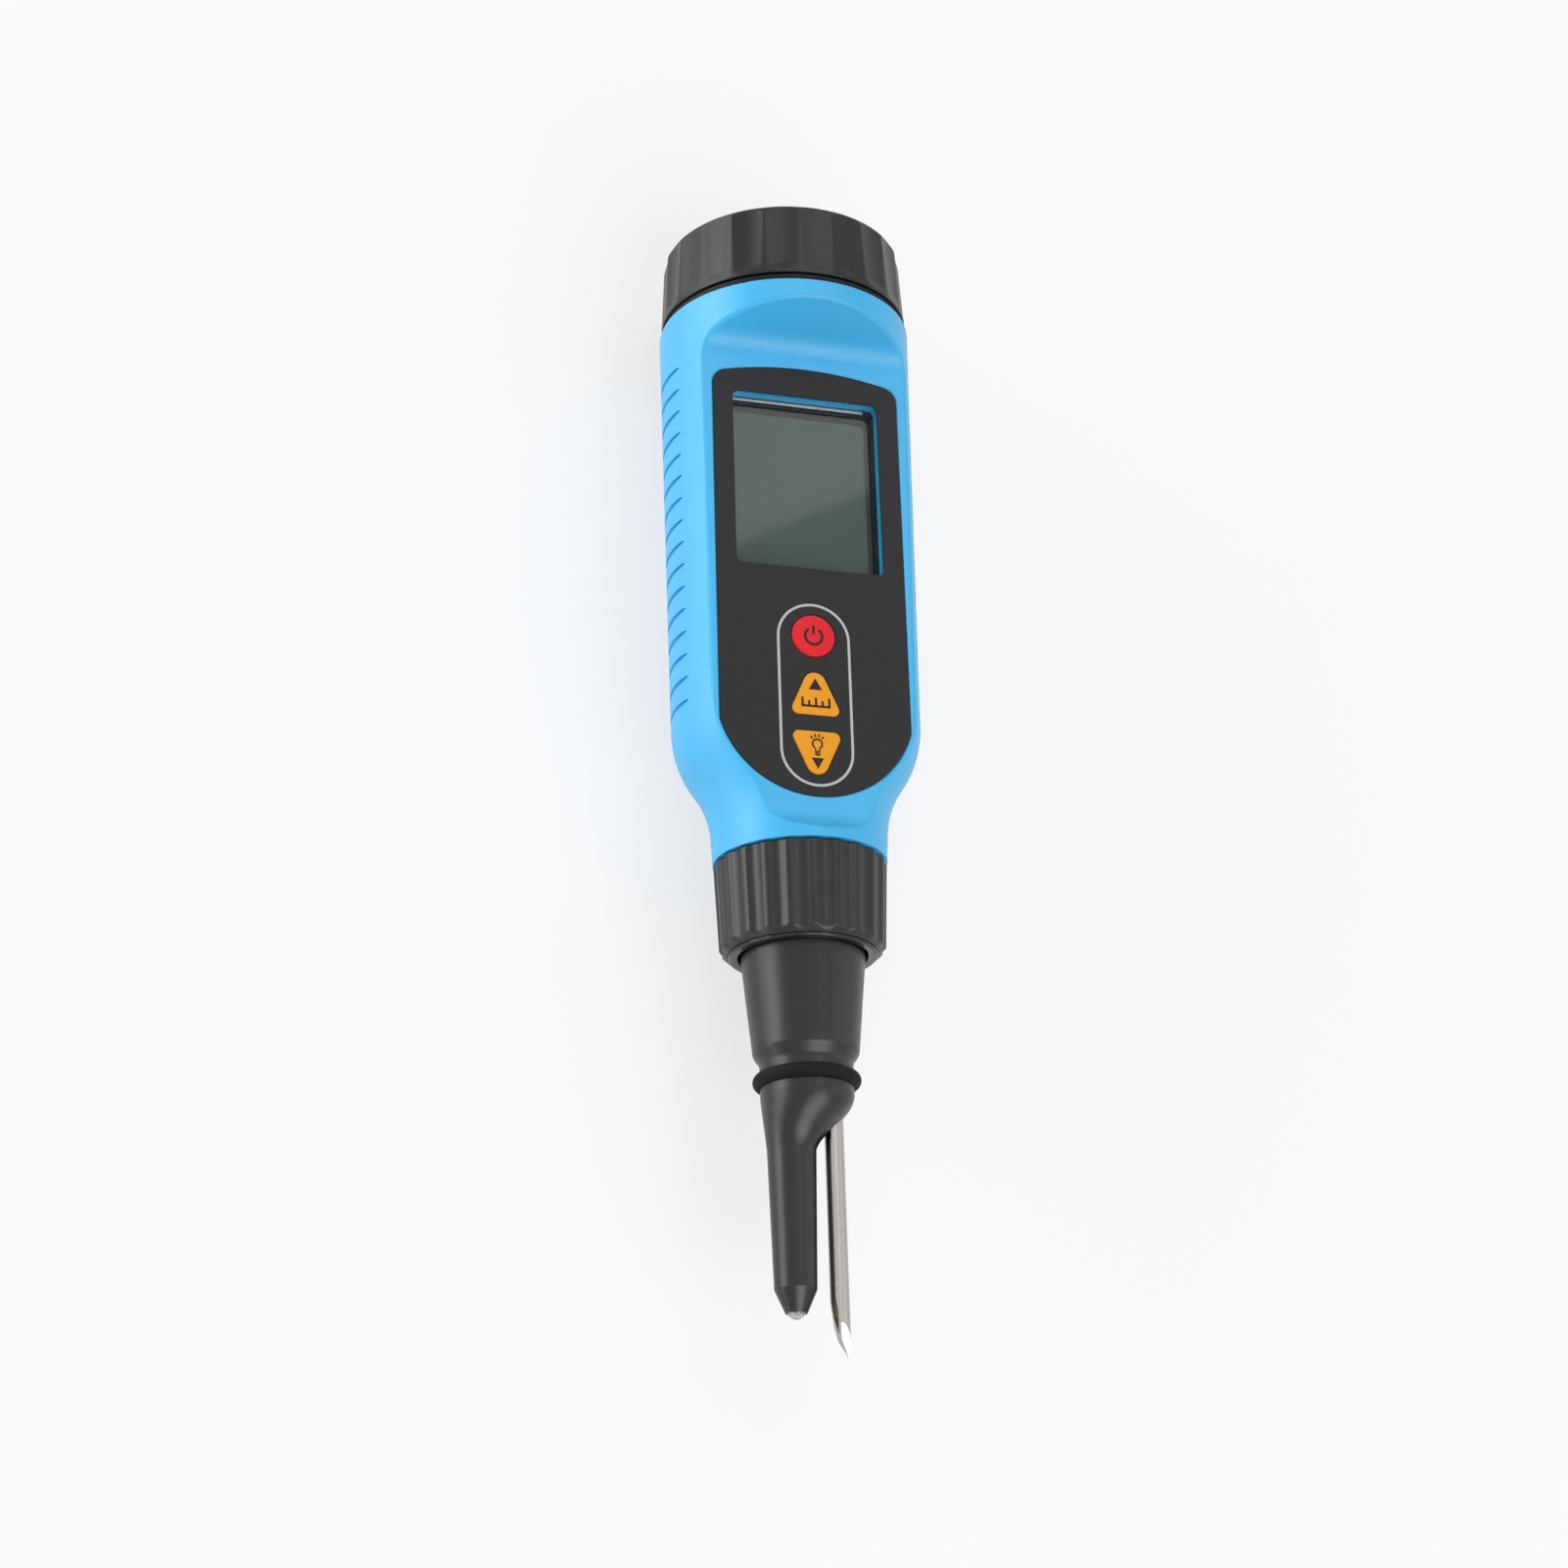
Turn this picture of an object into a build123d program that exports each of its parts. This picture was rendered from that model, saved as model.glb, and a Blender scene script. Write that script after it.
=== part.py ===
from build123d import *
import os
from math import cos, pi, radians, sin, sqrt, tan

# Pen-style pH meter for food, lying on its back.
# +X is to the right of the face, +Y runs along the pen towards the battery cap and +Z leaves the face.
# Every station along the pen is measured from the joint between the blue body and the collar.
# Sizes are in millimetres.

# Body shell
body_length = 90.2
body_flare = 0.8
body_top_edge_radius = 0.5
shoulder_top_y = 22.0
shoulder_low_y = 3.5
lip_proud = 0.1
lip_draft = 0.2
body_wall = 1.9
face_wall = 2.2
face_height = 10.6
face_edge_radius = 0.8
scoop_foot_below_top = 7.7
scoop_foot_radius = 5.0
scoop_slope = 64.0
chin_foot_y = 3.6
chin_foot_radius = 4.5
chin_slope = 50.0
rest_flat_depth = 0.33
rest_flat_length = 12.0

# Grip grooves at both sides
groove_above_shoulder = 1.4
groove_below_top = 10.0
groove_pitch = 3.76
groove_width = 0.9
groove_depth = 0.45
groove_centre_angle = 12.0
groove_half_angle = 28.0
groove_cutter_offset = 3.25
groove_cutter_reach = 1.25

# Threaded spigot for the collar
spigot_radius = 10.6
spigot_length = 9.0
spigot_wall = 2.4
spigot_floor = 3.0
key_slot_width = 2.4
key_slot_depth = 1.0

# Face overlay, with its window and the three keys
overlay_side_margin = 0.949
overlay_above_chin = 3.7
overlay_below_scoop = 3.3
overlay_top_arc_radius = 56.7
overlay_chin_excess = 0.6
overlay_top_corner_radius = 2.6
overlay_low_corner_radius = 1.5
overlay_thickness = 0.25
overlay_sink = 0.1
overlay_edge_gap = 0.1
overlay_rim_chamfer = 0.2
window_side_margin = 3.2
window_below_overlay_top = 4.9
window_above_power_key = 7.85
window_corner_radius = 1.2
window_thickness = 0.5
window_ledge = 1.0
window_edge_gap = 0.05
key_proud = 0.15
key_thickness = 0.9
key_travel = 0.4
key_floor_gap = 0.1
key_side_gap = 0.15
key_stem_radius = 1.4
key_stem_gap = 0.35
power_key_above_up_key = 2.55
power_key_radius = 3.45
arrow_key_height = 7.0
arrow_key_half_width = 3.75
arrow_corner_radius = 1.0
arrow_tip_radius = 1.8
arrow_centre_share = 0.42
up_key_above_down_key = 2.6
down_key_above_overlay_edge = 3.5

# Display stack and board
board_margin = 0.2
board_low_width = 15.0
board_above_overlay_edge = 1.7
board_taper_below_shoulder = 4.0
board_above_window = 6.0
board_thickness = 1.2
light_guide_thickness = 1.6
bezel_margin = 1.1
bezel_wall = 0.5
bezel_lip = 0.3
bezel_overlap = 0.5
bezel_under_face = 0.2
lcd_gap = 0.1
lcd_thickness = 1.9
chip_gap = 1.9
chip_height = 1.1
upper_chip_below_power_key = 2.9
upper_chip_size = 6.0
lower_chip_below_key_edge = 1.6
lower_chip_width = 3.9
lower_chip_length = 4.9
switch_width = 5.0
switch_height = 3.0
switch_corner_radius = 0.4
plunger_radius = 0.9
plunger_gap = 0.1
plunger_stand_out = 0.6
plunger_engagement = 1.2
plunger_floor_gap = 0.3
screw_shank_radius = 0.9
screw_hole_gap = 0.1
screw_head_radius = 1.8
screw_head_height = 1.1
screw_length = 3.6
screw_edge_distance = 3.2
screw_above_taper = 4.0
screw_below_window = 4.5
screw_above_window = 3.4
post_radius = 2.0

# Chassis with the battery tubes
post_height = 2.2
chassis_plate_thickness = 1.4
chassis_side_margin = 3.05
chassis_nose_length = 3.0
chassis_end_gap = 0.2
chassis_rib_thickness = 2.0
chassis_rib_below_board = 0.2
chassis_bore_gap = 0.1
tube_gap = 0.1
tube_wall = 0.8
tube_plate_overlap = 0.15
tube_top_below_neck = 4.0
tube_floor = 2.0
cell_radius = 5.25
cell_length = 44.5
cell_nub_radius = 1.9
cell_nub_height = 0.8
cell_side_gap = 0.4
spring_length = 4.0
spring_radius = 3.2
spring_wire_radius = 0.3
spring_turns = 4
contact_thickness = 0.4
contact_edge_gap = 0.6

# Battery neck, cap and the contacts in the cap
flange_inset = 0.55
flange_thickness = 0.9
neck_round_plug = 3.1
neck_skirt_length = 7.1
neck_plug_gap = 0.08
neck_tube_gap = 0.25
neck_skirt_wall = 2.233
neck_wall = 1.95
neck_height = 8.1
neck_notch_width = 3.2
neck_notch_depth = 2.2
cap_seal_height = 1.6
cap_seal_thickness = 1.3
cap_seal_groove_depth = 1.0
seal_side_gap = 0.05
cap_gap = 0.35
cap_rim_proud = 0.2
cap_draft = 0.6
cap_rim_height = 0.7
cap_roof_thickness = 2.95
cap_edge_radius = 1.6
cap_thread_gap = 0.6
cap_roof_above_neck = 2.05
cap_boss_wall = 2.2
cap_flute_count = 22
cap_flute_low_depth = 0.3
cap_flute_depth = 0.45
cap_flute_radius = 8.5
carrier_rim_width = 1.65
carrier_disc_thickness = 1.1
carrier_neck_gap = 0.15
carrier_plug_gap = 0.35
carrier_plug_depth = 1.6
carrier_lug_gap = 0.2
carrier_roof_gap = 0.3
carrier_screw_radius = 1.3
carrier_screw_gap = 0.08
carrier_screw_head_radius = 1.9
carrier_screw_head_height = 1.0
carrier_screw_grip = 2.6
bridge_width = 7.0
bridge_thickness = 0.3
bridge_gap = 0.1

# Collar and the ring in its lower end
collar_gap = 0.3
collar_wall = 1.8
collar_draft = 0.6
collar_chamfer_length = 0.9
collar_chamfer_depth = 1.0
collar_thread_gap = 0.7
collar_lip_thickness = 3.0
collar_lip_gap = 0.3
collar_lip_clearance = 0.2
collar_flute_count = 22
collar_flute_depth = 0.5
collar_flute_radius = 2.0
ring_width = 1.5
ring_depth = 1.4
ring_proud = 0.5
ring_edge_radius = 0.35

# Probe
flange_gap = 0.2
flange_side_gap = 0.4
probe_flange_thickness = 1.9
probe_neck_inset = 1.9
probe_neck_draft = 1.45
probe_neck_length = 15.1
waist_depth = 1.0
waist_step_length = 2.3
o_ring_below_step = 2.15
o_ring_thickness = 2.2
o_ring_proud = 1.09
waist_below_o_ring = 2.35
stem_inset = 0.68
stem_top_radius = 3.62
shoulder_length = 8.1
shoulder_sections = ((0.15, 0.06), (0.54, 0.51), (0.86, 0.91))
stem_low_radius = 3.12
stem_length = 20.5
stem_tip_radius = 1.62
stem_tip_length = 3.4
stem_wall = 0.92
plug_gap = 0.3
plug_below_joint = 1.7
plug_wall = 1.2
plug_key_gap = 0.2
plug_seal_y = 4.2
plug_seal_thickness = 1.4
plug_seal_groove_depth = 1.1
chamber_above_step = 0.7
gel_bore_above_stem_tip = 2.3
plug_block_thickness = 4.0
pin_radius = 0.45
pin_length = 6.0
pin_reach = 3.0
pin_circle_radius = 3.0
pin_count = 4
bung_above_chamber_floor = 7.5
bung_thickness = 4.0
glass_radius = 1.4
glass_wall = 0.35
glass_gap = 0.06
glass_tip_length = 0.9
glass_above_bung = 5.0
wire_radius = 0.25
silver_wire_end = 4.0
reference_wire_end = 1.0

# Piercing blade
blade_inset = 1.65
blade_radius = 1.7
blade_wall = 0.42
blade_opening = 0.65
blade_root_depth = 2.0
blade_beyond_stem = 6.0
blade_scarf_length = 8.2
blade_scarf_depth = 0.8
blade_nose_length = 2.3
blade_nose_depth = 1.93
blade_point_length = 4.6
blade_solid_length = 6.0
blade_bore_run_out = 2.6
blade_bore_end_radius = 0.2
blade_bevel_length = 3.8
blade_point_half = 0.12
blade_slot_gap = 0.05

# Socket at the top of the spigot
socket_side_gap = 0.3
socket_flange_thickness = 3.0
socket_plug_gap = 0.3
socket_hole_gap = 0.08
contact_sleeve_radius = 0.95
contact_sleeve_depth = 4.0
contact_tail_length = 1.6
connector_board_inset = 3.5
connector_board_thickness = 1.0
connector_board_flat = 4.0
connector_hole_gap = 0.05
ribbon_width = 8.0
ribbon_thickness = 0.3
ribbon_low_z = 0.0
ribbon_step_above_board_edge = 3.0
ribbon_board_overlap = 4.0

# Collar and plug, built up from the threaded spigot
spigot_bore_radius = spigot_radius - spigot_wall
collar_bore_radius = spigot_radius + collar_thread_gap
collar_top_radius = collar_bore_radius + collar_wall
collar_low_radius = collar_top_radius - collar_draft
probe_flange_radius = collar_bore_radius - flange_side_gap
probe_flange_top_y = -spigot_length - flange_gap
probe_flange_low_y = probe_flange_top_y - probe_flange_thickness
collar_top_y = -collar_gap
collar_lip_top_y = probe_flange_low_y - collar_lip_clearance
collar_low_y = collar_lip_top_y - collar_lip_thickness
collar_length = collar_top_y - collar_low_y
plug_radius = spigot_bore_radius - plug_gap
plug_top_y = -plug_below_joint
plug_seal_station_y = plug_top_y - plug_seal_y
plug_seal_half = plug_seal_thickness / 2 + seal_side_gap
plug_seal_floor_radius = plug_radius - plug_seal_groove_depth

# Probe, from the collar down to the tip of the blade
probe_neck_radius = collar_bore_radius - probe_neck_inset
probe_neck_low_radius = probe_neck_radius - probe_neck_draft
probe_neck_low_y = collar_low_y - probe_neck_length
waist_radius = probe_neck_low_radius - waist_depth
waist_top_y = probe_neck_low_y - waist_step_length
o_ring_y = waist_top_y - o_ring_below_step
o_ring_outer_radius = waist_radius + o_ring_proud
o_ring_floor_radius = o_ring_outer_radius - o_ring_thickness
o_ring_groove_half = o_ring_thickness / 2 + seal_side_gap
waist_low_y = o_ring_y - waist_below_o_ring
stem_side_x = waist_radius - stem_top_radius - stem_inset
stem_top_y = waist_low_y - shoulder_length
stem_low_y = stem_top_y - stem_length
stem_tip_y = stem_low_y - stem_tip_length
probe_chamber_radius = plug_seal_floor_radius - plug_wall
probe_chamber_low_y = probe_neck_low_y + chamber_above_step
gel_bore_radius = stem_low_radius - stem_wall
gel_bore_low_y = stem_low_y + gel_bore_above_stem_tip
bung_y = probe_chamber_low_y + bung_above_chamber_floor
glass_top_y = bung_y + glass_above_bung
glass_tip_y = stem_tip_y - glass_tip_length
wire_top_y = plug_top_y - plug_block_thickness
ring_seat_y = collar_low_y + ring_depth
ring_inner_radius = probe_neck_radius + collar_lip_gap
ring_outer_radius = ring_inner_radius + ring_width
blade_side_x = waist_radius - blade_radius - blade_inset
blade_root_y = waist_low_y + blade_root_depth
blade_tip_y = stem_tip_y - blade_beyond_stem
blade_scarf_start_y = blade_tip_y + blade_scarf_length
blade_solid_top_y = blade_tip_y + blade_solid_length
blade_opening_x = blade_side_x - blade_opening
blade_nose_x = blade_opening_x + blade_nose_depth

# Socket in the spigot
lip_radius = collar_top_radius + lip_proud
neck_radius = lip_radius + lip_draft
funnel_low_radius = neck_radius - body_wall
funnel_low_y = shoulder_low_y + 2 * body_wall
socket_nose_y = plug_top_y + socket_plug_gap
socket_top_y = spigot_floor + socket_flange_thickness
socket_flange_radius = funnel_low_radius - socket_side_gap
connector_board_radius = funnel_low_radius - connector_board_inset
tail_top_y = socket_top_y + contact_tail_length

# Face stack, from the overlay down to the plate of the chassis
recess_z = face_height - overlay_sink - overlay_thickness
overlay_top_z = recess_z + overlay_thickness
window_floor_z = recess_z - window_thickness
key_bottom_z = overlay_top_z + key_proud - key_thickness
pocket_floor_z = key_bottom_z - key_travel - key_floor_gap
inner_face_z = face_height - face_wall
bezel_top_z = inner_face_z - bezel_under_face
lcd_top_z = bezel_top_z - bezel_lip
lcd_low_z = lcd_top_z - lcd_thickness
board_top_z = lcd_low_z - light_guide_thickness
board_bottom_z = board_top_z - board_thickness
switch_top_z = board_top_z + switch_height
stem_low_z = switch_top_z + plunger_stand_out
chassis_plate_top_z = board_bottom_z - post_height
chassis_plate_low_z = chassis_plate_top_z - chassis_plate_thickness

# Tubes for the cells, the neck round them, and the body and cap round the neck
tube_bore_radius = cell_radius + tube_gap
tube_radius = tube_bore_radius + tube_wall
cell_side_x = cell_radius + cell_side_gap
cell_below_axis = tube_radius - chassis_plate_low_z - tube_plate_overlap
neck_bore_radius = sqrt(cell_side_x**2 + cell_below_axis**2) + tube_radius + neck_tube_gap
neck_outer_radius = neck_bore_radius + neck_wall
plug_outer_radius = neck_bore_radius + neck_skirt_wall
bore_radius = plug_outer_radius + neck_plug_gap
body_low_radius = bore_radius + body_wall
body_top_radius = body_low_radius + body_flare
flange_radius = body_top_radius - flange_inset
cap_bore_radius = neck_outer_radius + cap_thread_gap
cap_rim_radius = flange_radius + cap_rim_proud
cap_top_radius = cap_rim_radius - cap_draft
cap_seal_floor_radius = neck_outer_radius - cap_seal_groove_depth
chassis_half_width = bore_radius - chassis_side_margin
rest_plane_z = rest_flat_depth - body_top_radius
body_taper = body_flare / (body_length - shoulder_top_y)
rest_strip_depth = rest_flat_depth - rest_flat_length * body_taper
rest_strip_low_z = rest_strip_depth - body_low_radius + shoulder_top_y * body_taper

# Stations of the neck, the cap and the cells
flange_top_y = body_length + flange_thickness
neck_top_y = flange_top_y + neck_height
cap_low_y = flange_top_y + cap_gap
cap_roof_y = neck_top_y + cap_roof_above_neck
cap_top_y = cap_roof_y + cap_roof_thickness
cap_height = cap_top_y - cap_low_y
overall_middle_y = (cap_top_y + blade_tip_y) / 2
round_bore_y = body_length - neck_round_plug
neck_skirt_end_y = round_bore_y - neck_skirt_length
cap_seal_low_y = flange_top_y + cap_seal_height
carrier_low_y = neck_top_y + carrier_neck_gap
carrier_top_y = carrier_low_y + carrier_disc_thickness
carrier_plug_low_y = carrier_low_y - carrier_plug_depth
cap_boss_low_y = carrier_top_y + carrier_roof_gap
bridge_low_y = carrier_plug_low_y - bridge_thickness
cell_top_y = bridge_low_y - bridge_gap
cell_low_y = cell_top_y - cell_length
spring_seat_y = cell_low_y - spring_length
contact_seat_y = cell_low_y - contact_thickness
tube_low_y = spring_seat_y - tube_floor
tube_top_y = neck_top_y - tube_top_below_neck
chassis_low_y = shoulder_top_y - chassis_nose_length
chassis_top_y = neck_skirt_end_y - chassis_end_gap

# Layout of the face: overlay, window and keys
overlay_half_width = sqrt(body_low_radius**2 - face_height**2) - overlay_side_margin
overlay_low_arc_radius = overlay_half_width + overlay_chin_excess
overlay_low_y = chin_foot_y + overlay_above_chin
scoop_foot_y = body_length - scoop_foot_below_top
overlay_top_y = scoop_foot_y - overlay_below_scoop
down_key_top_y = overlay_low_y + down_key_above_overlay_edge + arrow_key_height
up_key_low_y = down_key_top_y + up_key_above_down_key
power_key_y = up_key_low_y + arrow_key_height + power_key_above_up_key + power_key_radius
window_half_width = overlay_half_width - window_side_margin
window_low_y = power_key_y + power_key_radius + window_above_power_key
window_top_y = overlay_top_y - window_below_overlay_top
window_height = window_top_y - window_low_y

# Layout of the board and of the grooves
board_half_width = window_half_width + bezel_margin + board_margin
board_low_y = overlay_low_y + board_above_overlay_edge
board_taper_y = shoulder_top_y - board_taper_below_shoulder
board_top_y = window_top_y + board_above_window
screw_low_y = board_taper_y + screw_above_taper
upper_chip_y = power_key_y - upper_chip_below_power_key
lower_chip_y = down_key_top_y - lower_chip_below_key_edge
ribbon_step_y = board_low_y + ribbon_step_above_board_edge
groove_low_y = shoulder_top_y + groove_above_shoulder
groove_count = 1 + int((body_length - groove_below_top - groove_low_y) / groove_pitch)

# Planes of the pen: the face plane through the axis, cross-sections and the side view
pen_origin = Vector(0, -overall_middle_y, -rest_plane_z)
axis_plane = Plane(origin=pen_origin, x_dir=(1, 0, 0), z_dir=(0, 0, 1))
side_plane = Plane(origin=pen_origin, x_dir=(0, 1, 0), z_dir=(1, 0, 0))
pen_axis = Axis(pen_origin, (0, 1, 0))


def section(y, x=0.0, z=0.0):
    """Cross-section plane at station y, with +X right and +Z up, facing the probe."""
    return Plane(origin=pen_origin + Vector(x, y, z), x_dir=(1, 0, 0), z_dir=(0, -1, 0))


def flute_planes(count, start_y, start_radius, end_y, end_radius, turn=0.0):
    """Planes round the pen, each facing along a flute from its start to its end."""
    planes = []
    for index in range(count):
        angle = 2 * pi * index / count + turn
        outward = Vector(cos(angle), 0, sin(angle))
        start = pen_origin + outward * start_radius + Vector(0, start_y, 0)
        end = pen_origin + outward * end_radius + Vector(0, end_y, 0)
        planes.append(Plane(origin=start, x_dir=outward, z_dir=end - start))
    return planes


def overlay_outline(grow=0.0):
    """Outline of the overlay: straight sides, a shallow arch on top and a round chin."""
    half = overlay_half_width + grow
    top_sag = overlay_top_arc_radius - sqrt(overlay_top_arc_radius**2 - half**2)
    chin_radius = overlay_low_arc_radius + grow
    chin_sag = chin_radius - sqrt(chin_radius**2 - half**2)
    top = overlay_top_y + grow
    low = overlay_low_y - grow
    with BuildSketch() as outline:
        with BuildLine():
            side_right = Line((half, low + chin_sag), (half, top - top_sag))
            arch = ThreePointArc(side_right @ 1, (0, top), (-half, top - top_sag))
            side_left = Line(arch @ 1, (-half, low + chin_sag))
            ThreePointArc(side_left @ 1, (0, low), side_right @ 0)
        make_face()
        upper = outline.vertices().group_by(Axis.Y)[-1]
        lower = outline.vertices().group_by(Axis.Y)[0]
        fillet(upper, overlay_top_corner_radius)
        fillet(lower, overlay_low_corner_radius)
    return outline.sketch


def window_outline(grow=0.0):
    """Rounded rectangle of the display window, grown on every side."""
    with BuildSketch() as outline:
        with Locations((0, window_low_y + window_height / 2)):
            RectangleRounded(
                2 * (window_half_width + grow),
                window_height + 2 * grow,
                window_corner_radius + max(grow, 0.0),
            )
    return outline.sketch


def arrow_outline(base_y, tip_sign, grow=0.0):
    """Rounded triangle: a base at base_y and a tip above (+1) or below (-1) it."""
    corner = arrow_corner_radius + grow
    tip = arrow_tip_radius + grow
    with BuildSketch() as outline:
        with BuildLine() as circles:
            corner_x = arrow_key_half_width - arrow_corner_radius
            corner_y = base_y + tip_sign * arrow_corner_radius
            tip_y = base_y + tip_sign * (arrow_key_height - arrow_tip_radius)
            CenterArc((corner_x, corner_y), corner, 0, 360)
            CenterArc((-corner_x, corner_y), corner, 0, 360)
            CenterArc((0, tip_y), tip, 0, 360)
        make_hull(circles.edges())
    return outline.sketch


def power_outline(grow=0.0):
    """Round outline of the power key."""
    with BuildSketch() as outline:
        with Locations((0, power_key_y)):
            Circle(power_key_radius + grow)
    return outline.sketch


def up_outline(grow=0.0):
    """Outline of the up key, tip towards the display."""
    return arrow_outline(up_key_low_y, 1, grow)


def down_outline(grow=0.0):
    """Outline of the down key, tip towards the probe."""
    return arrow_outline(down_key_top_y, -1, grow)


key_outlines = {"power": power_outline, "up": up_outline, "down": down_outline}
key_centres_y = {
    "power": power_key_y,
    "up": up_key_low_y + arrow_key_height * arrow_centre_share,
    "down": down_key_top_y - arrow_key_height * arrow_centre_share,
}
key_places = [(0, y) for y in key_centres_y.values()]
screw_places = [
    (side * (board_half_width - screw_edge_distance), y)
    for side in (1, -1)
    for y in (screw_low_y, window_low_y - screw_below_window, window_top_y + screw_above_window)
]
cell_places = {1: (cell_side_x, -cell_below_axis), -1: (-cell_side_x, -cell_below_axis)}


# Solid that hollows the body: round below the face, with a round seat for the neck at the top
with BuildPart() as body_cavity:
    with BuildSketch(axis_plane):
        with BuildLine():
            Polyline(
                (0, spigot_floor),
                (funnel_low_radius, spigot_floor),
                (funnel_low_radius, funnel_low_y),
                (bore_radius, shoulder_top_y),
                (bore_radius, body_length + 1),
                (0, body_length + 1),
                close=True,
            )
        make_face()
    revolve(axis=pen_axis)
    with BuildSketch(side_plane):
        with BuildLine():
            Polyline(
                (-1, inner_face_z),
                (round_bore_y, inner_face_z),
                (round_bore_y, 2 * body_top_radius),
                (-1, 2 * body_top_radius),
                close=True,
            )
        make_face()
    extrude(amount=2 * body_top_radius, both=True, mode=Mode.SUBTRACT)
    with BuildSketch(section(spigot_floor + 1)):
        Circle(spigot_bore_radius)
    extrude(amount=spigot_floor + spigot_length + 2)
    with BuildSketch(section(0.0)):
        with Locations((0, -spigot_bore_radius)):
            Rectangle(key_slot_width, 2 * key_slot_depth)
    extrude(amount=spigot_length + 1)

# Blue one-piece body with the flat face, the scoops and the threaded spigot
with BuildPart() as body_shell:
    shoulder_middle = (
        (neck_radius + body_low_radius) / 2,
        (shoulder_low_y + shoulder_top_y) / 2,
    )
    with BuildSketch(axis_plane):
        with BuildLine():
            spigot = Polyline(
                (0, -spigot_length),
                (spigot_radius, -spigot_length),
                (spigot_radius, 0),
                (lip_radius, 0),
                (neck_radius, shoulder_low_y),
            )
            lower_bend = TangentArc(spigot @ 1, shoulder_middle, tangent=(0, 1))
            upper_bend = TangentArc(
                lower_bend @ 1, (body_low_radius, shoulder_top_y), tangent=lower_bend % 1
            )
            Polyline(
                upper_bend @ 1,
                (body_top_radius, body_length),
                (0, body_length),
                (0, -spigot_length),
            )
        make_face()
    revolve(axis=pen_axis)
    fillet(
        body_shell.edges().filter_by(GeomType.CIRCLE).sort_by(Axis.Y)[-1], body_top_edge_radius
    )
    with BuildSketch(side_plane):
        with BuildLine():
            cut_top_z = 2 * body_top_radius
            cut_rise = cut_top_z - face_height
            scoop_top_y = scoop_foot_y + cut_rise / tan(radians(scoop_slope))
            chin_top_y = chin_foot_y - cut_rise / tan(radians(chin_slope))
            face_line = FilletPolyline(
                (chin_top_y, cut_top_z),
                (chin_foot_y, face_height),
                (scoop_foot_y, face_height),
                (scoop_top_y, cut_top_z),
                radius=[chin_foot_radius, scoop_foot_radius],
            )
            Line(face_line @ 1, face_line @ 0)
        make_face()
    extrude(amount=2 * body_top_radius, both=True, mode=Mode.SUBTRACT)
    fillet(body_shell.edges(Select.LAST).filter_by(Axis.X, reverse=True), face_edge_radius)
    with BuildSketch(side_plane):
        with BuildLine():
            Polyline(
                (0, rest_strip_low_z),
                (body_length - rest_flat_length, rest_plane_z),
                (2 * body_length, rest_plane_z),
                (2 * body_length, -2 * body_top_radius),
                (0, -2 * body_top_radius),
                close=True,
            )
        make_face()
    extrude(amount=body_top_radius, both=True, mode=Mode.SUBTRACT)
    for centre_angle in (-groove_centre_angle, 180 + groove_centre_angle):
        middle = Vector(cos(radians(centre_angle)), 0, sin(radians(centre_angle)))
        cutter_centre = pen_origin + middle * groove_cutter_offset
        start_angle = radians(centre_angle - groove_half_angle * groove_cutter_reach)
        start = Vector(cos(start_angle), 0, sin(start_angle))
        cutter_plane = Plane(origin=cutter_centre, x_dir=start, z_dir=start.cross(Vector(0, 1, 0)))
        with BuildSketch(cutter_plane):
            for index in range(groove_count):
                groove_y = groove_low_y + index * groove_pitch
                share = (groove_y - shoulder_top_y) / (body_length - shoulder_top_y)
                local_radius = body_low_radius + (body_top_radius - body_low_radius) * share
                reach = local_radius - groove_cutter_offset - groove_depth + groove_width / 2
                with Locations((reach, groove_y)):
                    Circle(groove_width / 2)
        revolve(
            axis=Axis(cutter_centre, (0, -1, 0)),
            revolution_arc=2 * groove_half_angle * groove_cutter_reach,
            mode=Mode.SUBTRACT,
        )
    with BuildSketch(axis_plane.offset(recess_z)):
        add(overlay_outline(overlay_edge_gap))
    extrude(amount=face_height, mode=Mode.SUBTRACT)
    with BuildSketch(axis_plane.offset(face_height + overlay_rim_chamfer)):
        add(overlay_outline(overlay_edge_gap + 2 * overlay_rim_chamfer))
    with BuildSketch(axis_plane.offset(face_height - overlay_rim_chamfer)):
        add(overlay_outline(overlay_edge_gap))
    loft(mode=Mode.SUBTRACT)
    with BuildSketch(axis_plane.offset(window_floor_z)):
        add(window_outline(window_ledge + window_edge_gap))
    extrude(amount=face_height, mode=Mode.SUBTRACT)
    with BuildSketch(axis_plane):
        add(window_outline())
    extrude(amount=face_height * 2, mode=Mode.SUBTRACT)
    for outline in key_outlines.values():
        with BuildSketch(axis_plane.offset(pocket_floor_z)):
            add(outline(key_side_gap))
        extrude(amount=face_height, mode=Mode.SUBTRACT)
    with BuildSketch(axis_plane):
        with Locations(*key_places):
            Circle(key_stem_radius + key_stem_gap)
    extrude(amount=face_height * 2, mode=Mode.SUBTRACT)
    add(body_cavity.part, mode=Mode.SUBTRACT)

# Black face sheet with openings for the window and the keys
with BuildPart() as face_overlay:
    with BuildSketch(axis_plane.offset(recess_z)):
        add(overlay_outline())
        add(window_outline(), mode=Mode.SUBTRACT)
        for outline in key_outlines.values():
            add(outline(key_side_gap), mode=Mode.SUBTRACT)
    extrude(amount=overlay_thickness)

# Clear sheet over the display, flush under the overlay
with BuildPart() as display_window:
    with BuildSketch(axis_plane.offset(window_floor_z)):
        add(window_outline(window_ledge))
    extrude(amount=window_thickness)

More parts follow.
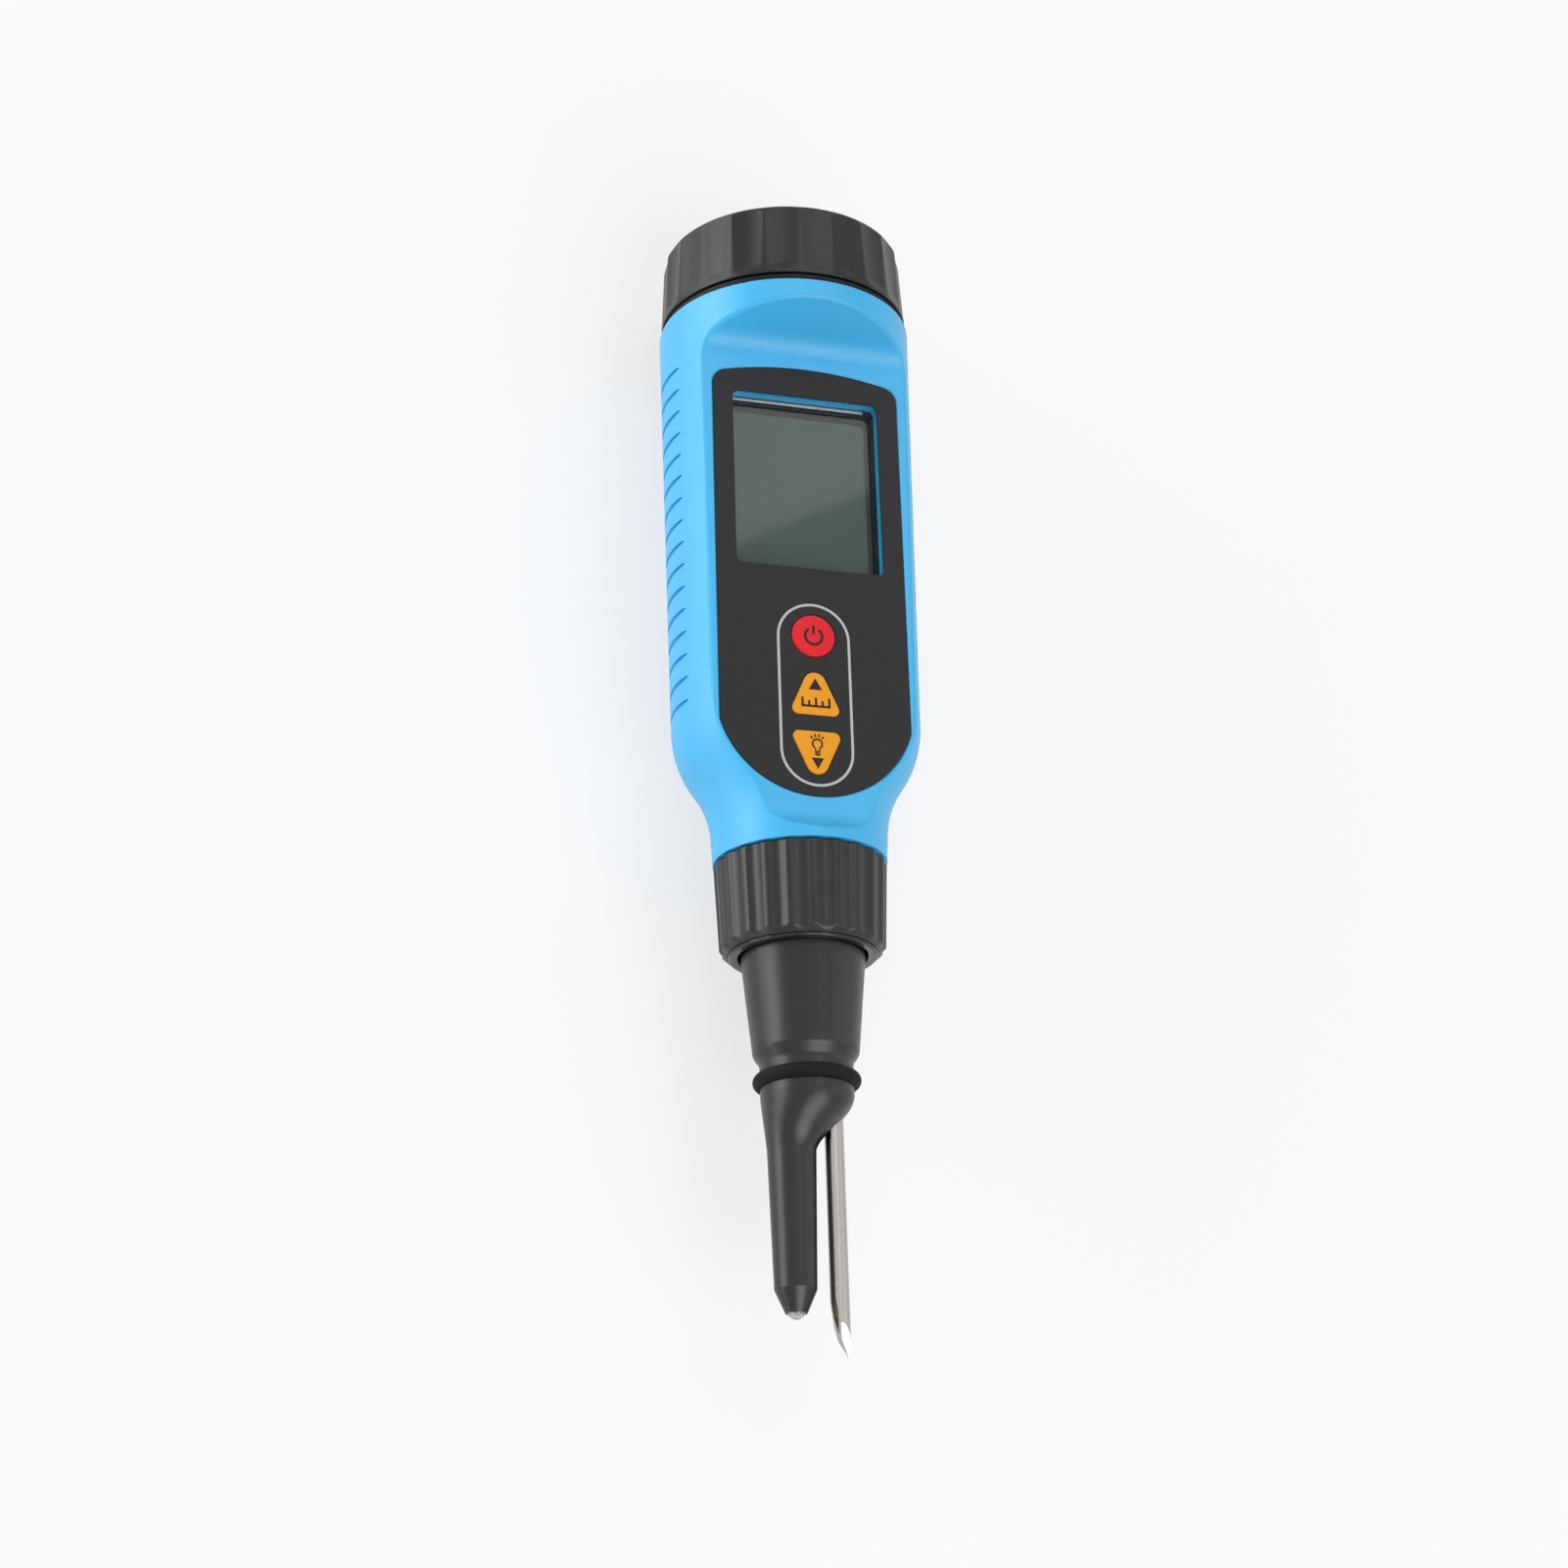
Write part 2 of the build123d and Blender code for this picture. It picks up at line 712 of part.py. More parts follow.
# Pressed metal frame that holds the display on the board
with BuildPart() as lcd_bezel:
    with BuildSketch(axis_plane.offset(board_top_z)):
        add(window_outline(bezel_margin))
    extrude(amount=bezel_top_z - board_top_z)
    with BuildSketch(axis_plane.offset(board_top_z)):
        add(window_outline(bezel_margin - bezel_wall))
    extrude(amount=lcd_top_z - board_top_z, mode=Mode.SUBTRACT)
    with BuildSketch(axis_plane.offset(board_top_z)):
        add(window_outline(-bezel_overlap))
    extrude(amount=face_height, mode=Mode.SUBTRACT)

# Display glass
with BuildPart() as lcd_glass:
    with BuildSketch(axis_plane.offset(lcd_low_z)):
        add(window_outline(bezel_margin - bezel_wall - lcd_gap))
    extrude(amount=lcd_thickness)

# Light guide of the backlight, between the display and the board
with BuildPart() as light_guide:
    with BuildSketch(axis_plane.offset(board_top_z)):
        add(window_outline(bezel_margin - bezel_wall - 2 * lcd_gap))
    extrude(amount=lcd_low_z - board_top_z)

# Circuit board, narrower at the probe end
with BuildPart() as main_board:
    with BuildSketch(axis_plane.offset(board_bottom_z)):
        with BuildLine():
            Polyline(
                (board_low_width / 2, board_low_y),
                (board_half_width, board_taper_y),
                (board_half_width, board_top_y),
                (-board_half_width, board_top_y),
                (-board_half_width, board_taper_y),
                (-board_low_width / 2, board_low_y),
                close=True,
            )
        make_face()
        with Locations(*screw_places):
            Circle(screw_shank_radius + screw_hole_gap, mode=Mode.SUBTRACT)
    extrude(amount=board_thickness)

# Screws through the board into the chassis posts
with BuildPart() as board_screws:
    with BuildSketch(axis_plane.offset(board_top_z)):
        with Locations(*screw_places):
            Circle(screw_head_radius)
    extrude(amount=screw_head_height)
    with BuildSketch(axis_plane.offset(board_top_z)):
        with Locations(*screw_places):
            Circle(screw_shank_radius)
    extrude(amount=-screw_length)

# Electronic parts on the board, beside the keys
with BuildPart() as board_chips:
    with BuildSketch(axis_plane.offset(board_top_z)):
        upper_chip_x = switch_width / 2 + chip_gap + upper_chip_size / 2
        lower_chip_x = switch_width / 2 + chip_gap + lower_chip_width / 2
        with Locations((-upper_chip_x, upper_chip_y), (upper_chip_x, upper_chip_y)):
            Rectangle(upper_chip_size, upper_chip_size)
        with Locations((-lower_chip_x, lower_chip_y), (lower_chip_x, lower_chip_y)):
            Rectangle(lower_chip_width, lower_chip_length)
    extrude(amount=chip_height)

# Housings of the three tactile switches, each with a hole for its plunger
with BuildPart() as switch_housings:
    with BuildSketch(axis_plane.offset(board_top_z)):
        with Locations(*key_places):
            RectangleRounded(switch_width, switch_width, switch_corner_radius)
    extrude(amount=switch_height)
    with BuildSketch(axis_plane.offset(switch_top_z)):
        with Locations(*key_places):
            Circle(plunger_radius + plunger_gap)
    extrude(amount=-(plunger_engagement + key_travel + plunger_floor_gap), mode=Mode.SUBTRACT)


def key_part(outline, centre_y):
    """Key cap with the stem that reaches the switch under it."""
    with BuildPart() as key:
        with BuildSketch(axis_plane.offset(key_bottom_z)):
            add(outline())
        extrude(amount=key_thickness)
        with BuildSketch(axis_plane.offset(stem_low_z)):
            with Locations((0, centre_y)):
                Circle(key_stem_radius)
        extrude(amount=key_bottom_z - stem_low_z)
    return key


def plunger_part(centre_y):
    """Plunger of one tactile switch."""
    with BuildPart() as plunger:
        with BuildSketch(axis_plane.offset(stem_low_z)):
            with Locations((0, centre_y)):
                Circle(plunger_radius)
        extrude(amount=-(plunger_stand_out + plunger_engagement))
    return plunger


power_key = key_part(power_outline, key_centres_y["power"])
up_key = key_part(up_outline, key_centres_y["up"])
down_key = key_part(down_outline, key_centres_y["down"])
power_plunger = plunger_part(key_centres_y["power"])
up_plunger = plunger_part(key_centres_y["up"])
down_plunger = plunger_part(key_centres_y["down"])

# Frame that slides into the body: base plate, ribs, posts for the board and two battery tubes
with BuildPart() as chassis:
    with BuildSketch(axis_plane.offset(chassis_plate_top_z)):
        with Locations((0, (chassis_low_y + chassis_top_y) / 2)):
            Rectangle(2 * chassis_half_width, chassis_top_y - chassis_low_y)
    extrude(amount=-chassis_plate_thickness)
    for rib_y in (shoulder_top_y, tube_low_y, chassis_top_y - chassis_rib_thickness):
        with BuildSketch(section(rib_y + chassis_rib_thickness)):
            Circle(bore_radius - chassis_bore_gap)
            with Locations((0, bore_radius + board_bottom_z - chassis_rib_below_board)):
                Rectangle(2 * bore_radius, 2 * bore_radius, mode=Mode.SUBTRACT)
        extrude(amount=chassis_rib_thickness)
    with BuildSketch(axis_plane.offset(chassis_plate_top_z)):
        with Locations(*screw_places):
            Circle(post_radius)
    extrude(amount=board_bottom_z - chassis_plate_top_z)
    with BuildSketch(section(tube_top_y)):
        with Locations(*cell_places.values()):
            Circle(tube_radius)
    extrude(amount=tube_top_y - tube_low_y)
    with BuildSketch(section(tube_top_y)):
        with Locations(cell_places[1]):
            Circle(tube_bore_radius)
    extrude(amount=tube_top_y - spring_seat_y, mode=Mode.SUBTRACT)
    with BuildSketch(section(tube_top_y)):
        with Locations(cell_places[-1]):
            Circle(tube_bore_radius)
    extrude(amount=tube_top_y - contact_seat_y, mode=Mode.SUBTRACT)
    with BuildSketch(axis_plane.offset(board_bottom_z)):
        with Locations(*screw_places):
            Circle(screw_shank_radius)
    extrude(amount=board_top_z - board_bottom_z - screw_length, mode=Mode.SUBTRACT)

# Two AAA cells, nub up on the left of the face and nub down on the right
with BuildPart() as battery_cells:
    with BuildSketch(section(cell_top_y)):
        with Locations(cell_places[1]):
            Circle(cell_nub_radius)
    extrude(amount=cell_nub_height)
    with BuildSketch(section(cell_top_y - cell_nub_height)):
        with Locations(cell_places[1]):
            Circle(cell_radius)
    extrude(amount=cell_length - cell_nub_height)
    with BuildSketch(section(cell_top_y)):
        with Locations(cell_places[-1]):
            Circle(cell_radius)
    extrude(amount=cell_length - cell_nub_height)
    with BuildSketch(section(cell_low_y + cell_nub_height)):
        with Locations(cell_places[-1]):
            Circle(cell_nub_radius)
    extrude(amount=cell_nub_height)

# Coil spring under the cell that stands on its flat end
with BuildPart() as cell_spring:
    coil_height = spring_length - 2 * spring_wire_radius
    coil_foot_y = spring_seat_y + spring_wire_radius
    coil_foot = pen_origin + Vector(cell_side_x, coil_foot_y, -cell_below_axis)
    with BuildLine() as coil:
        Helix(
            pitch=coil_height / spring_turns,
            height=coil_height,
            radius=spring_radius,
            center=coil_foot,
            direction=(0, 1, 0),
        )
    with BuildSketch(Plane(origin=coil.line @ 0, z_dir=coil.line % 0)):
        Circle(spring_wire_radius)
    sweep(is_frenet=True)

# Contact plate under the cell that stands on its nub
with BuildPart() as cell_contact:
    with BuildSketch(section(cell_low_y, -cell_side_x, -cell_below_axis)):
        Circle(cell_radius - contact_edge_gap)
    extrude(amount=contact_thickness)

# Threaded neck for the cap, plugged into the top of the body
with BuildPart() as battery_neck:
    seal_groove_top_y = cap_seal_low_y + cap_seal_thickness + 2 * seal_side_gap
    with BuildSketch(axis_plane):
        with BuildLine():
            Polyline(
                (neck_bore_radius, neck_skirt_end_y),
                (plug_outer_radius, neck_skirt_end_y),
                (plug_outer_radius, body_length),
                (flange_radius, body_length),
                (flange_radius, flange_top_y),
                (neck_outer_radius, flange_top_y),
                (neck_outer_radius, cap_seal_low_y),
                (cap_seal_floor_radius, cap_seal_low_y),
                (cap_seal_floor_radius, seal_groove_top_y),
                (neck_outer_radius, seal_groove_top_y),
                (neck_outer_radius, neck_top_y),
                (neck_bore_radius, neck_top_y),
                close=True,
            )
        make_face()
    revolve(axis=pen_axis)
    with BuildSketch(side_plane):
        with BuildLine():
            Polyline(
                (neck_skirt_end_y - 1, inner_face_z - neck_plug_gap),
                (round_bore_y + neck_plug_gap, inner_face_z - neck_plug_gap),
                (round_bore_y + neck_plug_gap, body_top_radius),
                (neck_skirt_end_y - 1, body_top_radius),
                close=True,
            )
        make_face()
    extrude(amount=body_top_radius, both=True, mode=Mode.SUBTRACT)
    with BuildSketch(section(neck_top_y)):
        Rectangle(2 * body_top_radius, neck_notch_width)
    extrude(amount=neck_notch_depth, mode=Mode.SUBTRACT)

# Rubber ring that seals the cap on the neck
with BuildPart() as cap_seal:
    with BuildSketch(axis_plane):
        with Locations(
            (
                cap_seal_floor_radius + cap_seal_thickness / 2,
                cap_seal_low_y + seal_side_gap + cap_seal_thickness / 2,
            )
        ):
            Circle(cap_seal_thickness / 2)
    revolve(axis=pen_axis)

# Fluted cap that screws on the neck
with BuildPart() as battery_cap:
    rim_top_y = cap_low_y + cap_rim_height
    boss_radius = carrier_screw_radius + cap_boss_wall
    with BuildSketch(axis_plane):
        with BuildLine():
            Polyline(
                (cap_bore_radius, cap_low_y),
                (cap_rim_radius, cap_low_y),
                (cap_rim_radius, rim_top_y),
                (cap_top_radius, cap_top_y),
                (0, cap_top_y),
                (0, cap_boss_low_y),
                (boss_radius, cap_boss_low_y),
                (boss_radius, cap_roof_y),
                (cap_bore_radius, cap_roof_y),
                close=True,
            )
        cap_profile = make_face()
        cap_corner = cap_profile.vertices().sort_by_distance((cap_top_radius, cap_top_y, 0))[0]
        fillet(cap_corner, cap_edge_radius)
    revolve(axis=pen_axis)
    with BuildSketch(
        *flute_planes(
            cap_flute_count,
            rim_top_y,
            cap_rim_radius + cap_flute_radius - cap_flute_low_depth,
            cap_top_y,
            cap_top_radius + cap_flute_radius - cap_flute_depth,
            pi / 2,
        )
    ):
        Circle(cap_flute_radius)
    extrude(amount=cap_height, mode=Mode.SUBTRACT)
    with BuildSketch(section(cap_boss_low_y)):
        Circle(carrier_screw_radius)
    extrude(amount=-carrier_screw_grip, mode=Mode.SUBTRACT)

# Disc that carries the bridge contact and is keyed to the neck, so it doesn't turn with the cap
with BuildPart() as contact_carrier:
    carrier_radius = neck_bore_radius + carrier_rim_width
    with BuildSketch(section(carrier_top_y)):
        Circle(carrier_radius)
    extrude(amount=carrier_disc_thickness)
    with BuildSketch(section(carrier_low_y)):
        Circle(neck_bore_radius - carrier_plug_gap)
    extrude(amount=carrier_plug_depth)
    with BuildSketch(section(carrier_low_y)):
        Circle(carrier_radius)
        Rectangle(4 * carrier_radius, neck_notch_width - 2 * carrier_lug_gap, mode=Mode.INTERSECT)
        Circle(neck_bore_radius - 2 * carrier_plug_gap, mode=Mode.SUBTRACT)
    extrude(amount=neck_notch_depth - 2 * carrier_lug_gap)
    with BuildSketch(section(carrier_top_y)):
        Circle(carrier_screw_radius + carrier_screw_gap)
    extrude(amount=carrier_disc_thickness + carrier_plug_depth, mode=Mode.SUBTRACT)

# Plate in the cap that joins the upper ends of the two cells
with BuildPart() as bridge_contact:
    with BuildSketch(section(bridge_low_y + bridge_thickness, 0, -cell_below_axis)):
        SlotCenterToCenter(2 * cell_side_x, bridge_width)
    extrude(amount=bridge_thickness)

# Shouldered screw on which the cap turns against the carrier
with BuildPart() as carrier_screw:
    with BuildSketch(section(carrier_plug_low_y)):
        Circle(carrier_screw_head_radius)
    extrude(amount=carrier_screw_head_height)
    with BuildSketch(section(cap_boss_low_y + carrier_screw_grip)):
        Circle(carrier_screw_radius)
    extrude(amount=cap_boss_low_y + carrier_screw_grip - carrier_plug_low_y)

# Fluted union nut that holds the probe on the spigot
with BuildPart() as collar:
    with BuildSketch(axis_plane):
        with BuildLine():
            Polyline(
                (collar_bore_radius, collar_top_y),
                (collar_top_radius, collar_top_y),
                (collar_low_radius, collar_low_y + collar_chamfer_length),
                (collar_low_radius - collar_chamfer_depth, collar_low_y),
                (ring_outer_radius, collar_low_y),
                (ring_outer_radius, ring_seat_y),
                (ring_inner_radius, ring_seat_y),
                (ring_inner_radius, collar_lip_top_y),
                (collar_bore_radius, collar_lip_top_y),
                close=True,
            )
        make_face()
    revolve(axis=pen_axis)
    with BuildSketch(
        *flute_planes(
            collar_flute_count,
            collar_top_y + collar_gap,
            collar_top_radius + collar_flute_radius - collar_flute_depth,
            collar_low_y,
            collar_low_radius + collar_flute_radius - collar_flute_depth,
            pi / 2,
        )
    ):
        Circle(collar_flute_radius)
    extrude(amount=collar_length, mode=Mode.SUBTRACT)

# Glossy ring pressed into the lower end of the collar
with BuildPart() as collar_ring:
    with BuildSketch(section(ring_seat_y)):
        Circle(ring_outer_radius)
        Circle(ring_inner_radius, mode=Mode.SUBTRACT)
    extrude(amount=ring_depth + ring_proud)
    fillet(collar_ring.edges().group_by(Axis.Y)[0], ring_edge_radius)

# Gutter section of the blade, open towards the stem
blade_place = section(blade_root_y, blade_side_x, 0)


def blade_section(gap=0.0, hollow=True):
    """Gutter a little deeper than a half round, grown by the gap, or the same outline filled."""
    with BuildSketch() as gutter:
        Circle(blade_radius + gap)
        if hollow:
            Circle(blade_radius - blade_wall - gap, mode=Mode.SUBTRACT)
        with Locations((-blade_opening - gap - blade_radius, 0)):
            Rectangle(2 * blade_radius, 3 * blade_radius, mode=Mode.SUBTRACT)
    return gutter.sketch


# Black moulded probe body: plug, flange, tapered neck, waist, shoulder and stem
with BuildPart() as probe_body:
    with BuildSketch(axis_plane):
        with BuildLine():
            Polyline(
                (0, plug_top_y),
                (plug_radius, plug_top_y),
                (plug_radius, plug_seal_station_y + plug_seal_half),
                (plug_seal_floor_radius, plug_seal_station_y + plug_seal_half),
                (plug_seal_floor_radius, plug_seal_station_y - plug_seal_half),
                (plug_radius, plug_seal_station_y - plug_seal_half),
                (plug_radius, probe_flange_top_y),
                (probe_flange_radius, probe_flange_top_y),
                (probe_flange_radius, probe_flange_low_y),
                (probe_neck_radius, probe_flange_low_y),
                (probe_neck_radius, collar_low_y),
                (probe_neck_low_radius, probe_neck_low_y),
            )
            Spline(
                (probe_neck_low_radius, probe_neck_low_y),
                (waist_radius, waist_top_y),
                tangents=((-probe_neck_draft, -probe_neck_length), (0, -1)),
            )
            Polyline(
                (waist_radius, waist_top_y),
                (waist_radius, o_ring_y + o_ring_groove_half),
                (o_ring_floor_radius, o_ring_y + o_ring_groove_half),
                (o_ring_floor_radius, o_ring_y - o_ring_groove_half),
                (waist_radius, o_ring_y - o_ring_groove_half),
                (waist_radius, waist_low_y),
                (0, waist_low_y),
                (0, plug_top_y),
            )
        make_face()
    revolve(axis=pen_axis)
    with BuildSketch(section(waist_low_y)):
        Circle(waist_radius)
    for length_share, narrowing_share in shoulder_sections:
        left = waist_radius + (stem_side_x + stem_top_radius - waist_radius) * length_share
        right = waist_radius - (waist_radius - stem_top_radius + stem_side_x) * narrowing_share
        shoulder_y = waist_low_y - shoulder_length * length_share
        with BuildSketch(section(shoulder_y, (right - left) / 2)):
            Circle((left + right) / 2)
    with BuildSketch(section(stem_top_y, -stem_side_x)):
        Circle(stem_top_radius)
    loft()
    with BuildSketch(section(stem_top_y, -stem_side_x)):
        Circle(stem_top_radius)
    with BuildSketch(section(stem_low_y, -stem_side_x)):
        Circle(stem_low_radius)
    loft()
    with BuildSketch(section(stem_low_y, -stem_side_x)):
        Circle(stem_low_radius)
    with BuildSketch(section(stem_tip_y, -stem_side_x)):
        Circle(stem_tip_radius)
    loft()
    with BuildSketch(section(plug_top_y)):
        with Locations((0, -plug_radius)):
            Rectangle(key_slot_width - 2 * plug_key_gap, 2 * (key_slot_depth - plug_key_gap))
        Circle(plug_radius - key_slot_depth, mode=Mode.SUBTRACT)
    extrude(amount=plug_seal_y - plug_seal_half)
    with BuildSketch(section(plug_top_y)):
        Circle(probe_chamber_radius)
    extrude(amount=plug_top_y - probe_chamber_low_y, mode=Mode.SUBTRACT)
    with BuildSketch(section(probe_chamber_low_y + 1, -stem_side_x)):
        Circle(gel_bore_radius)
    extrude(amount=probe_chamber_low_y + 1 - gel_bore_low_y, mode=Mode.SUBTRACT)
    with BuildSketch(section(gel_bore_low_y + 1, -stem_side_x)):
        Circle(glass_radius + glass_gap)
    extrude(amount=-stem_tip_y, mode=Mode.SUBTRACT)
    with BuildSketch(blade_place.offset(-blade_slot_gap)):
        add(blade_section(blade_slot_gap))
    extrude(amount=-stem_tip_y, mode=Mode.SUBTRACT)

# Stainless blade: half tube with a solid nose, a scarf, a steeper end and a ground point
with BuildPart() as piercing_blade:
    with BuildSketch(blade_place):
        add(blade_section())
    extrude(amount=blade_root_y - blade_tip_y)
    with BuildSketch(section(blade_solid_top_y, blade_side_x)):
        add(blade_section(hollow=False))
    extrude(amount=blade_solid_length)
    with BuildSketch(section(blade_solid_top_y, blade_side_x)):
        Circle(blade_radius - blade_wall)
    with BuildSketch(section(blade_solid_top_y - blade_bore_run_out, blade_side_x)):
        Circle(blade_bore_end_radius)
    loft(mode=Mode.SUBTRACT)
    with BuildSketch(axis_plane):
        with BuildLine():
            Polyline(
                (blade_opening_x, blade_scarf_start_y),
                (blade_opening_x + blade_scarf_depth, blade_tip_y + blade_nose_length),
                (blade_nose_x, blade_tip_y),
                (blade_side_x - blade_radius, blade_tip_y),
                (blade_side_x - blade_radius, blade_scarf_start_y),
                close=True,
            )
        make_face()
    extrude(amount=2 * blade_radius, both=True, mode=Mode.SUBTRACT)
    with BuildSketch(axis_plane):
        with BuildLine():
            Polyline(
                (blade_side_x + blade_radius, blade_tip_y + blade_bevel_length),
                (blade_side_x + blade_radius * 2, blade_tip_y + blade_bevel_length),
                (blade_side_x + blade_radius * 2, blade_tip_y),
                (blade_nose_x + 2 * blade_point_half, blade_tip_y),
                close=True,
            )
        make_face()
    extrude(amount=2 * blade_radius, both=True, mode=Mode.SUBTRACT)
    for side in (1, -1):
        with BuildSketch(side_plane):
            with BuildLine():
                Polyline(
                    (blade_tip_y + blade_point_length, side * blade_radius),
                    (blade_tip_y + blade_point_length, side * blade_radius * 2),
                    (blade_tip_y, side * blade_radius * 2),
                    (blade_tip_y, side * blade_point_half),
                    close=True,
                )
            make_face()
        extrude(amount=4 * blade_radius, both=True, mode=Mode.SUBTRACT)

# Black rubber ring that seals the storage cap
with BuildPart() as storage_o_ring:
    with BuildSketch(axis_plane):
        with Locations((o_ring_outer_radius - o_ring_thickness / 2, o_ring_y)):
            Circle(o_ring_thickness / 2)
    revolve(axis=pen_axis)

# Ring that seals the plug in the spigot
with BuildPart() as plug_seal:
    with BuildSketch(axis_plane):
        with Locations((plug_seal_floor_radius + plug_seal_thickness / 2, plug_seal_station_y)):
            Circle(plug_seal_thickness / 2)
    revolve(axis=pen_axis)


def pin_locations(radius, count):
    """Places of the contact pins on their circle, in a cross-section."""
    return PolarLocations(radius, count, 45)


# Insert that closes the probe and holds its pins
with BuildPart() as plug_block:
    with BuildSketch(section(plug_top_y)):
        Circle(probe_chamber_radius - glass_gap)
        with pin_locations(pin_circle_radius, pin_count):
            Circle(pin_radius, mode=Mode.SUBTRACT)
    extrude(amount=plug_block_thickness)

# Gold-plated pins of the probe
with BuildPart() as plug_pins:
    with BuildSketch(section(plug_top_y + pin_reach)):
        with pin_locations(pin_circle_radius, pin_count):
            Circle(pin_radius)
    extrude(amount=pin_reach + pin_length)

# Rubber bung that holds the glass electrode
with BuildPart() as electrode_bung:
    with BuildSketch(section(bung_y)):
        Circle(probe_chamber_radius - glass_gap)
        with Locations((-stem_side_x, 0)):
            Circle(glass_radius, mode=Mode.SUBTRACT)
        with Locations((stem_side_x, 0)):
            Circle(wire_radius, mode=Mode.SUBTRACT)
    extrude(amount=bung_thickness)

# Glass electrode: thin tube with a round sensing tip
with BuildPart() as glass_electrode:
    electrode_axis = Axis(pen_origin + Vector(-stem_side_x, 0, 0), (0, 1, 0))
    inner_radius = glass_radius - glass_wall
    with BuildSketch(axis_plane.shift_origin(pen_origin + Vector(-stem_side_x, 0, 0))):
        with BuildLine():
            outer_foot_y = glass_tip_y + glass_radius
            inner_foot_y = glass_tip_y + glass_wall + inner_radius
            Line((0, glass_tip_y + glass_wall), (0, glass_tip_y))
            CenterArc((0, outer_foot_y), glass_radius, -90, 90)
            Polyline(
                (glass_radius, outer_foot_y),
                (glass_radius, glass_top_y),
                (inner_radius, glass_top_y),
                (inner_radius, inner_foot_y),
            )
            CenterArc((0, inner_foot_y), inner_radius, -90, 90)
        make_face()
    revolve(axis=electrode_axis)

# Silver wire in the glass tube
with BuildPart() as silver_wire:
    with BuildSketch(section(wire_top_y, -stem_side_x)):
        Circle(wire_radius)
    extrude(amount=wire_top_y - glass_tip_y - silver_wire_end)

# Reference wire beside the glass tube
with BuildPart() as reference_wire:
    with BuildSketch(section(wire_top_y, stem_side_x)):
        Circle(wire_radius)
    extrude(amount=wire_top_y - probe_chamber_low_y - reference_wire_end)

# Socket in the spigot that takes the probe's pins
with BuildPart() as socket_block:
    with BuildSketch(section(socket_top_y)):
        Circle(socket_flange_radius)
        with Locations((0, inner_face_z - socket_side_gap + socket_flange_radius / 2)):
            Rectangle(2 * socket_flange_radius, socket_flange_radius, mode=Mode.SUBTRACT)
    extrude(amount=socket_flange_thickness)
    with BuildSketch(section(spigot_floor)):
        Circle(spigot_bore_radius - socket_side_gap)
    extrude(amount=spigot_floor - socket_nose_y)
    with BuildSketch(section(socket_top_y)):
        with pin_locations(pin_circle_radius, pin_count):
            Circle(contact_sleeve_radius)
    extrude(amount=socket_top_y - socket_nose_y, mode=Mode.SUBTRACT)

# Sleeves in the socket, with tails soldered to the connector board
with BuildPart() as socket_contacts:
    with BuildSketch(section(tail_top_y)):
        with pin_locations(pin_circle_radius, pin_count):
            Circle(pin_radius)
    extrude(amount=contact_tail_length)
    with BuildSketch(section(socket_top_y)):
        with pin_locations(pin_circle_radius, pin_count):
            Circle(contact_sleeve_radius)
    extrude(amount=socket_top_y - socket_nose_y)
    with BuildSketch(section(socket_nose_y + contact_sleeve_depth)):
        with pin_locations(pin_circle_radius, pin_count):
            Circle(pin_radius + socket_hole_gap)
    extrude(amount=contact_sleeve_depth, mode=Mode.SUBTRACT)

# Small round board on the socket's tails
with BuildPart() as connector_board:
    with BuildSketch(section(tail_top_y)):
        Circle(connector_board_radius)
        with Locations((0, connector_board_flat + connector_board_radius / 2)):
            Rectangle(2 * connector_board_radius, connector_board_radius, mode=Mode.SUBTRACT)
        with pin_locations(pin_circle_radius, pin_count):
            Circle(pin_radius + connector_hole_gap, mode=Mode.SUBTRACT)
    extrude(amount=connector_board_thickness)

# Flat cable from the connector board to the underside of the main board
with BuildPart() as ribbon_cable:
    ribbon_top_z = board_bottom_z - ribbon_thickness / 2
    ribbon_end_y = ribbon_step_y + (ribbon_top_z - ribbon_low_z)
    with BuildSketch(side_plane):
        with BuildLine():
            Polyline(
                (tail_top_y + ribbon_thickness / 2, ribbon_low_z),
                (ribbon_step_y, ribbon_low_z),
                (ribbon_end_y, ribbon_top_z),
                (ribbon_end_y + ribbon_board_overlap, ribbon_top_z),
            )
            offset(amount=ribbon_thickness / 2)
        make_face()
    extrude(amount=ribbon_width / 2, both=True)

pieces = {
    "body_shell": body_shell,
    "face_overlay": face_overlay,
    "display_window": display_window,
    "lcd_bezel": lcd_bezel,
    "lcd_glass": lcd_glass,
    "light_guide": light_guide,
    "main_board": main_board,
    "board_screws": board_screws,
    "board_chips": board_chips,
    "switch_housings": switch_housings,
    "power_key": power_key,
    "up_key": up_key,
    "down_key": down_key,
    "power_plunger": power_plunger,
    "up_plunger": up_plunger,
    "down_plunger": down_plunger,
    "chassis": chassis,
    "battery_cells": battery_cells,
    "cell_spring": cell_spring,
    "cell_contact": cell_contact,
    "battery_neck": battery_neck,
    "cap_seal": cap_seal,
    "battery_cap": battery_cap,
    "contact_carrier": contact_carrier,
    "bridge_contact": bridge_contact,
    "carrier_screw": carrier_screw,
    "collar": collar,
    "collar_ring": collar_ring,
    "probe_body": probe_body,
    "piercing_blade": piercing_blade,
    "storage_o_ring": storage_o_ring,
    "plug_seal": plug_seal,
    "plug_block": plug_block,
    "plug_pins": plug_pins,
    "electrode_bung": electrode_bung,
    "glass_electrode": glass_electrode,
    "silver_wire": silver_wire,
    "reference_wire": reference_wire,
    "socket_block": socket_block,
    "socket_contacts": socket_contacts,
    "connector_board": connector_board,
    "ribbon_cable": ribbon_cable,
}

os.makedirs("parts", exist_ok=True)
for label, piece in pieces.items():
    piece.part.label = label
    export_step(piece.part, f"parts/{label}.step")
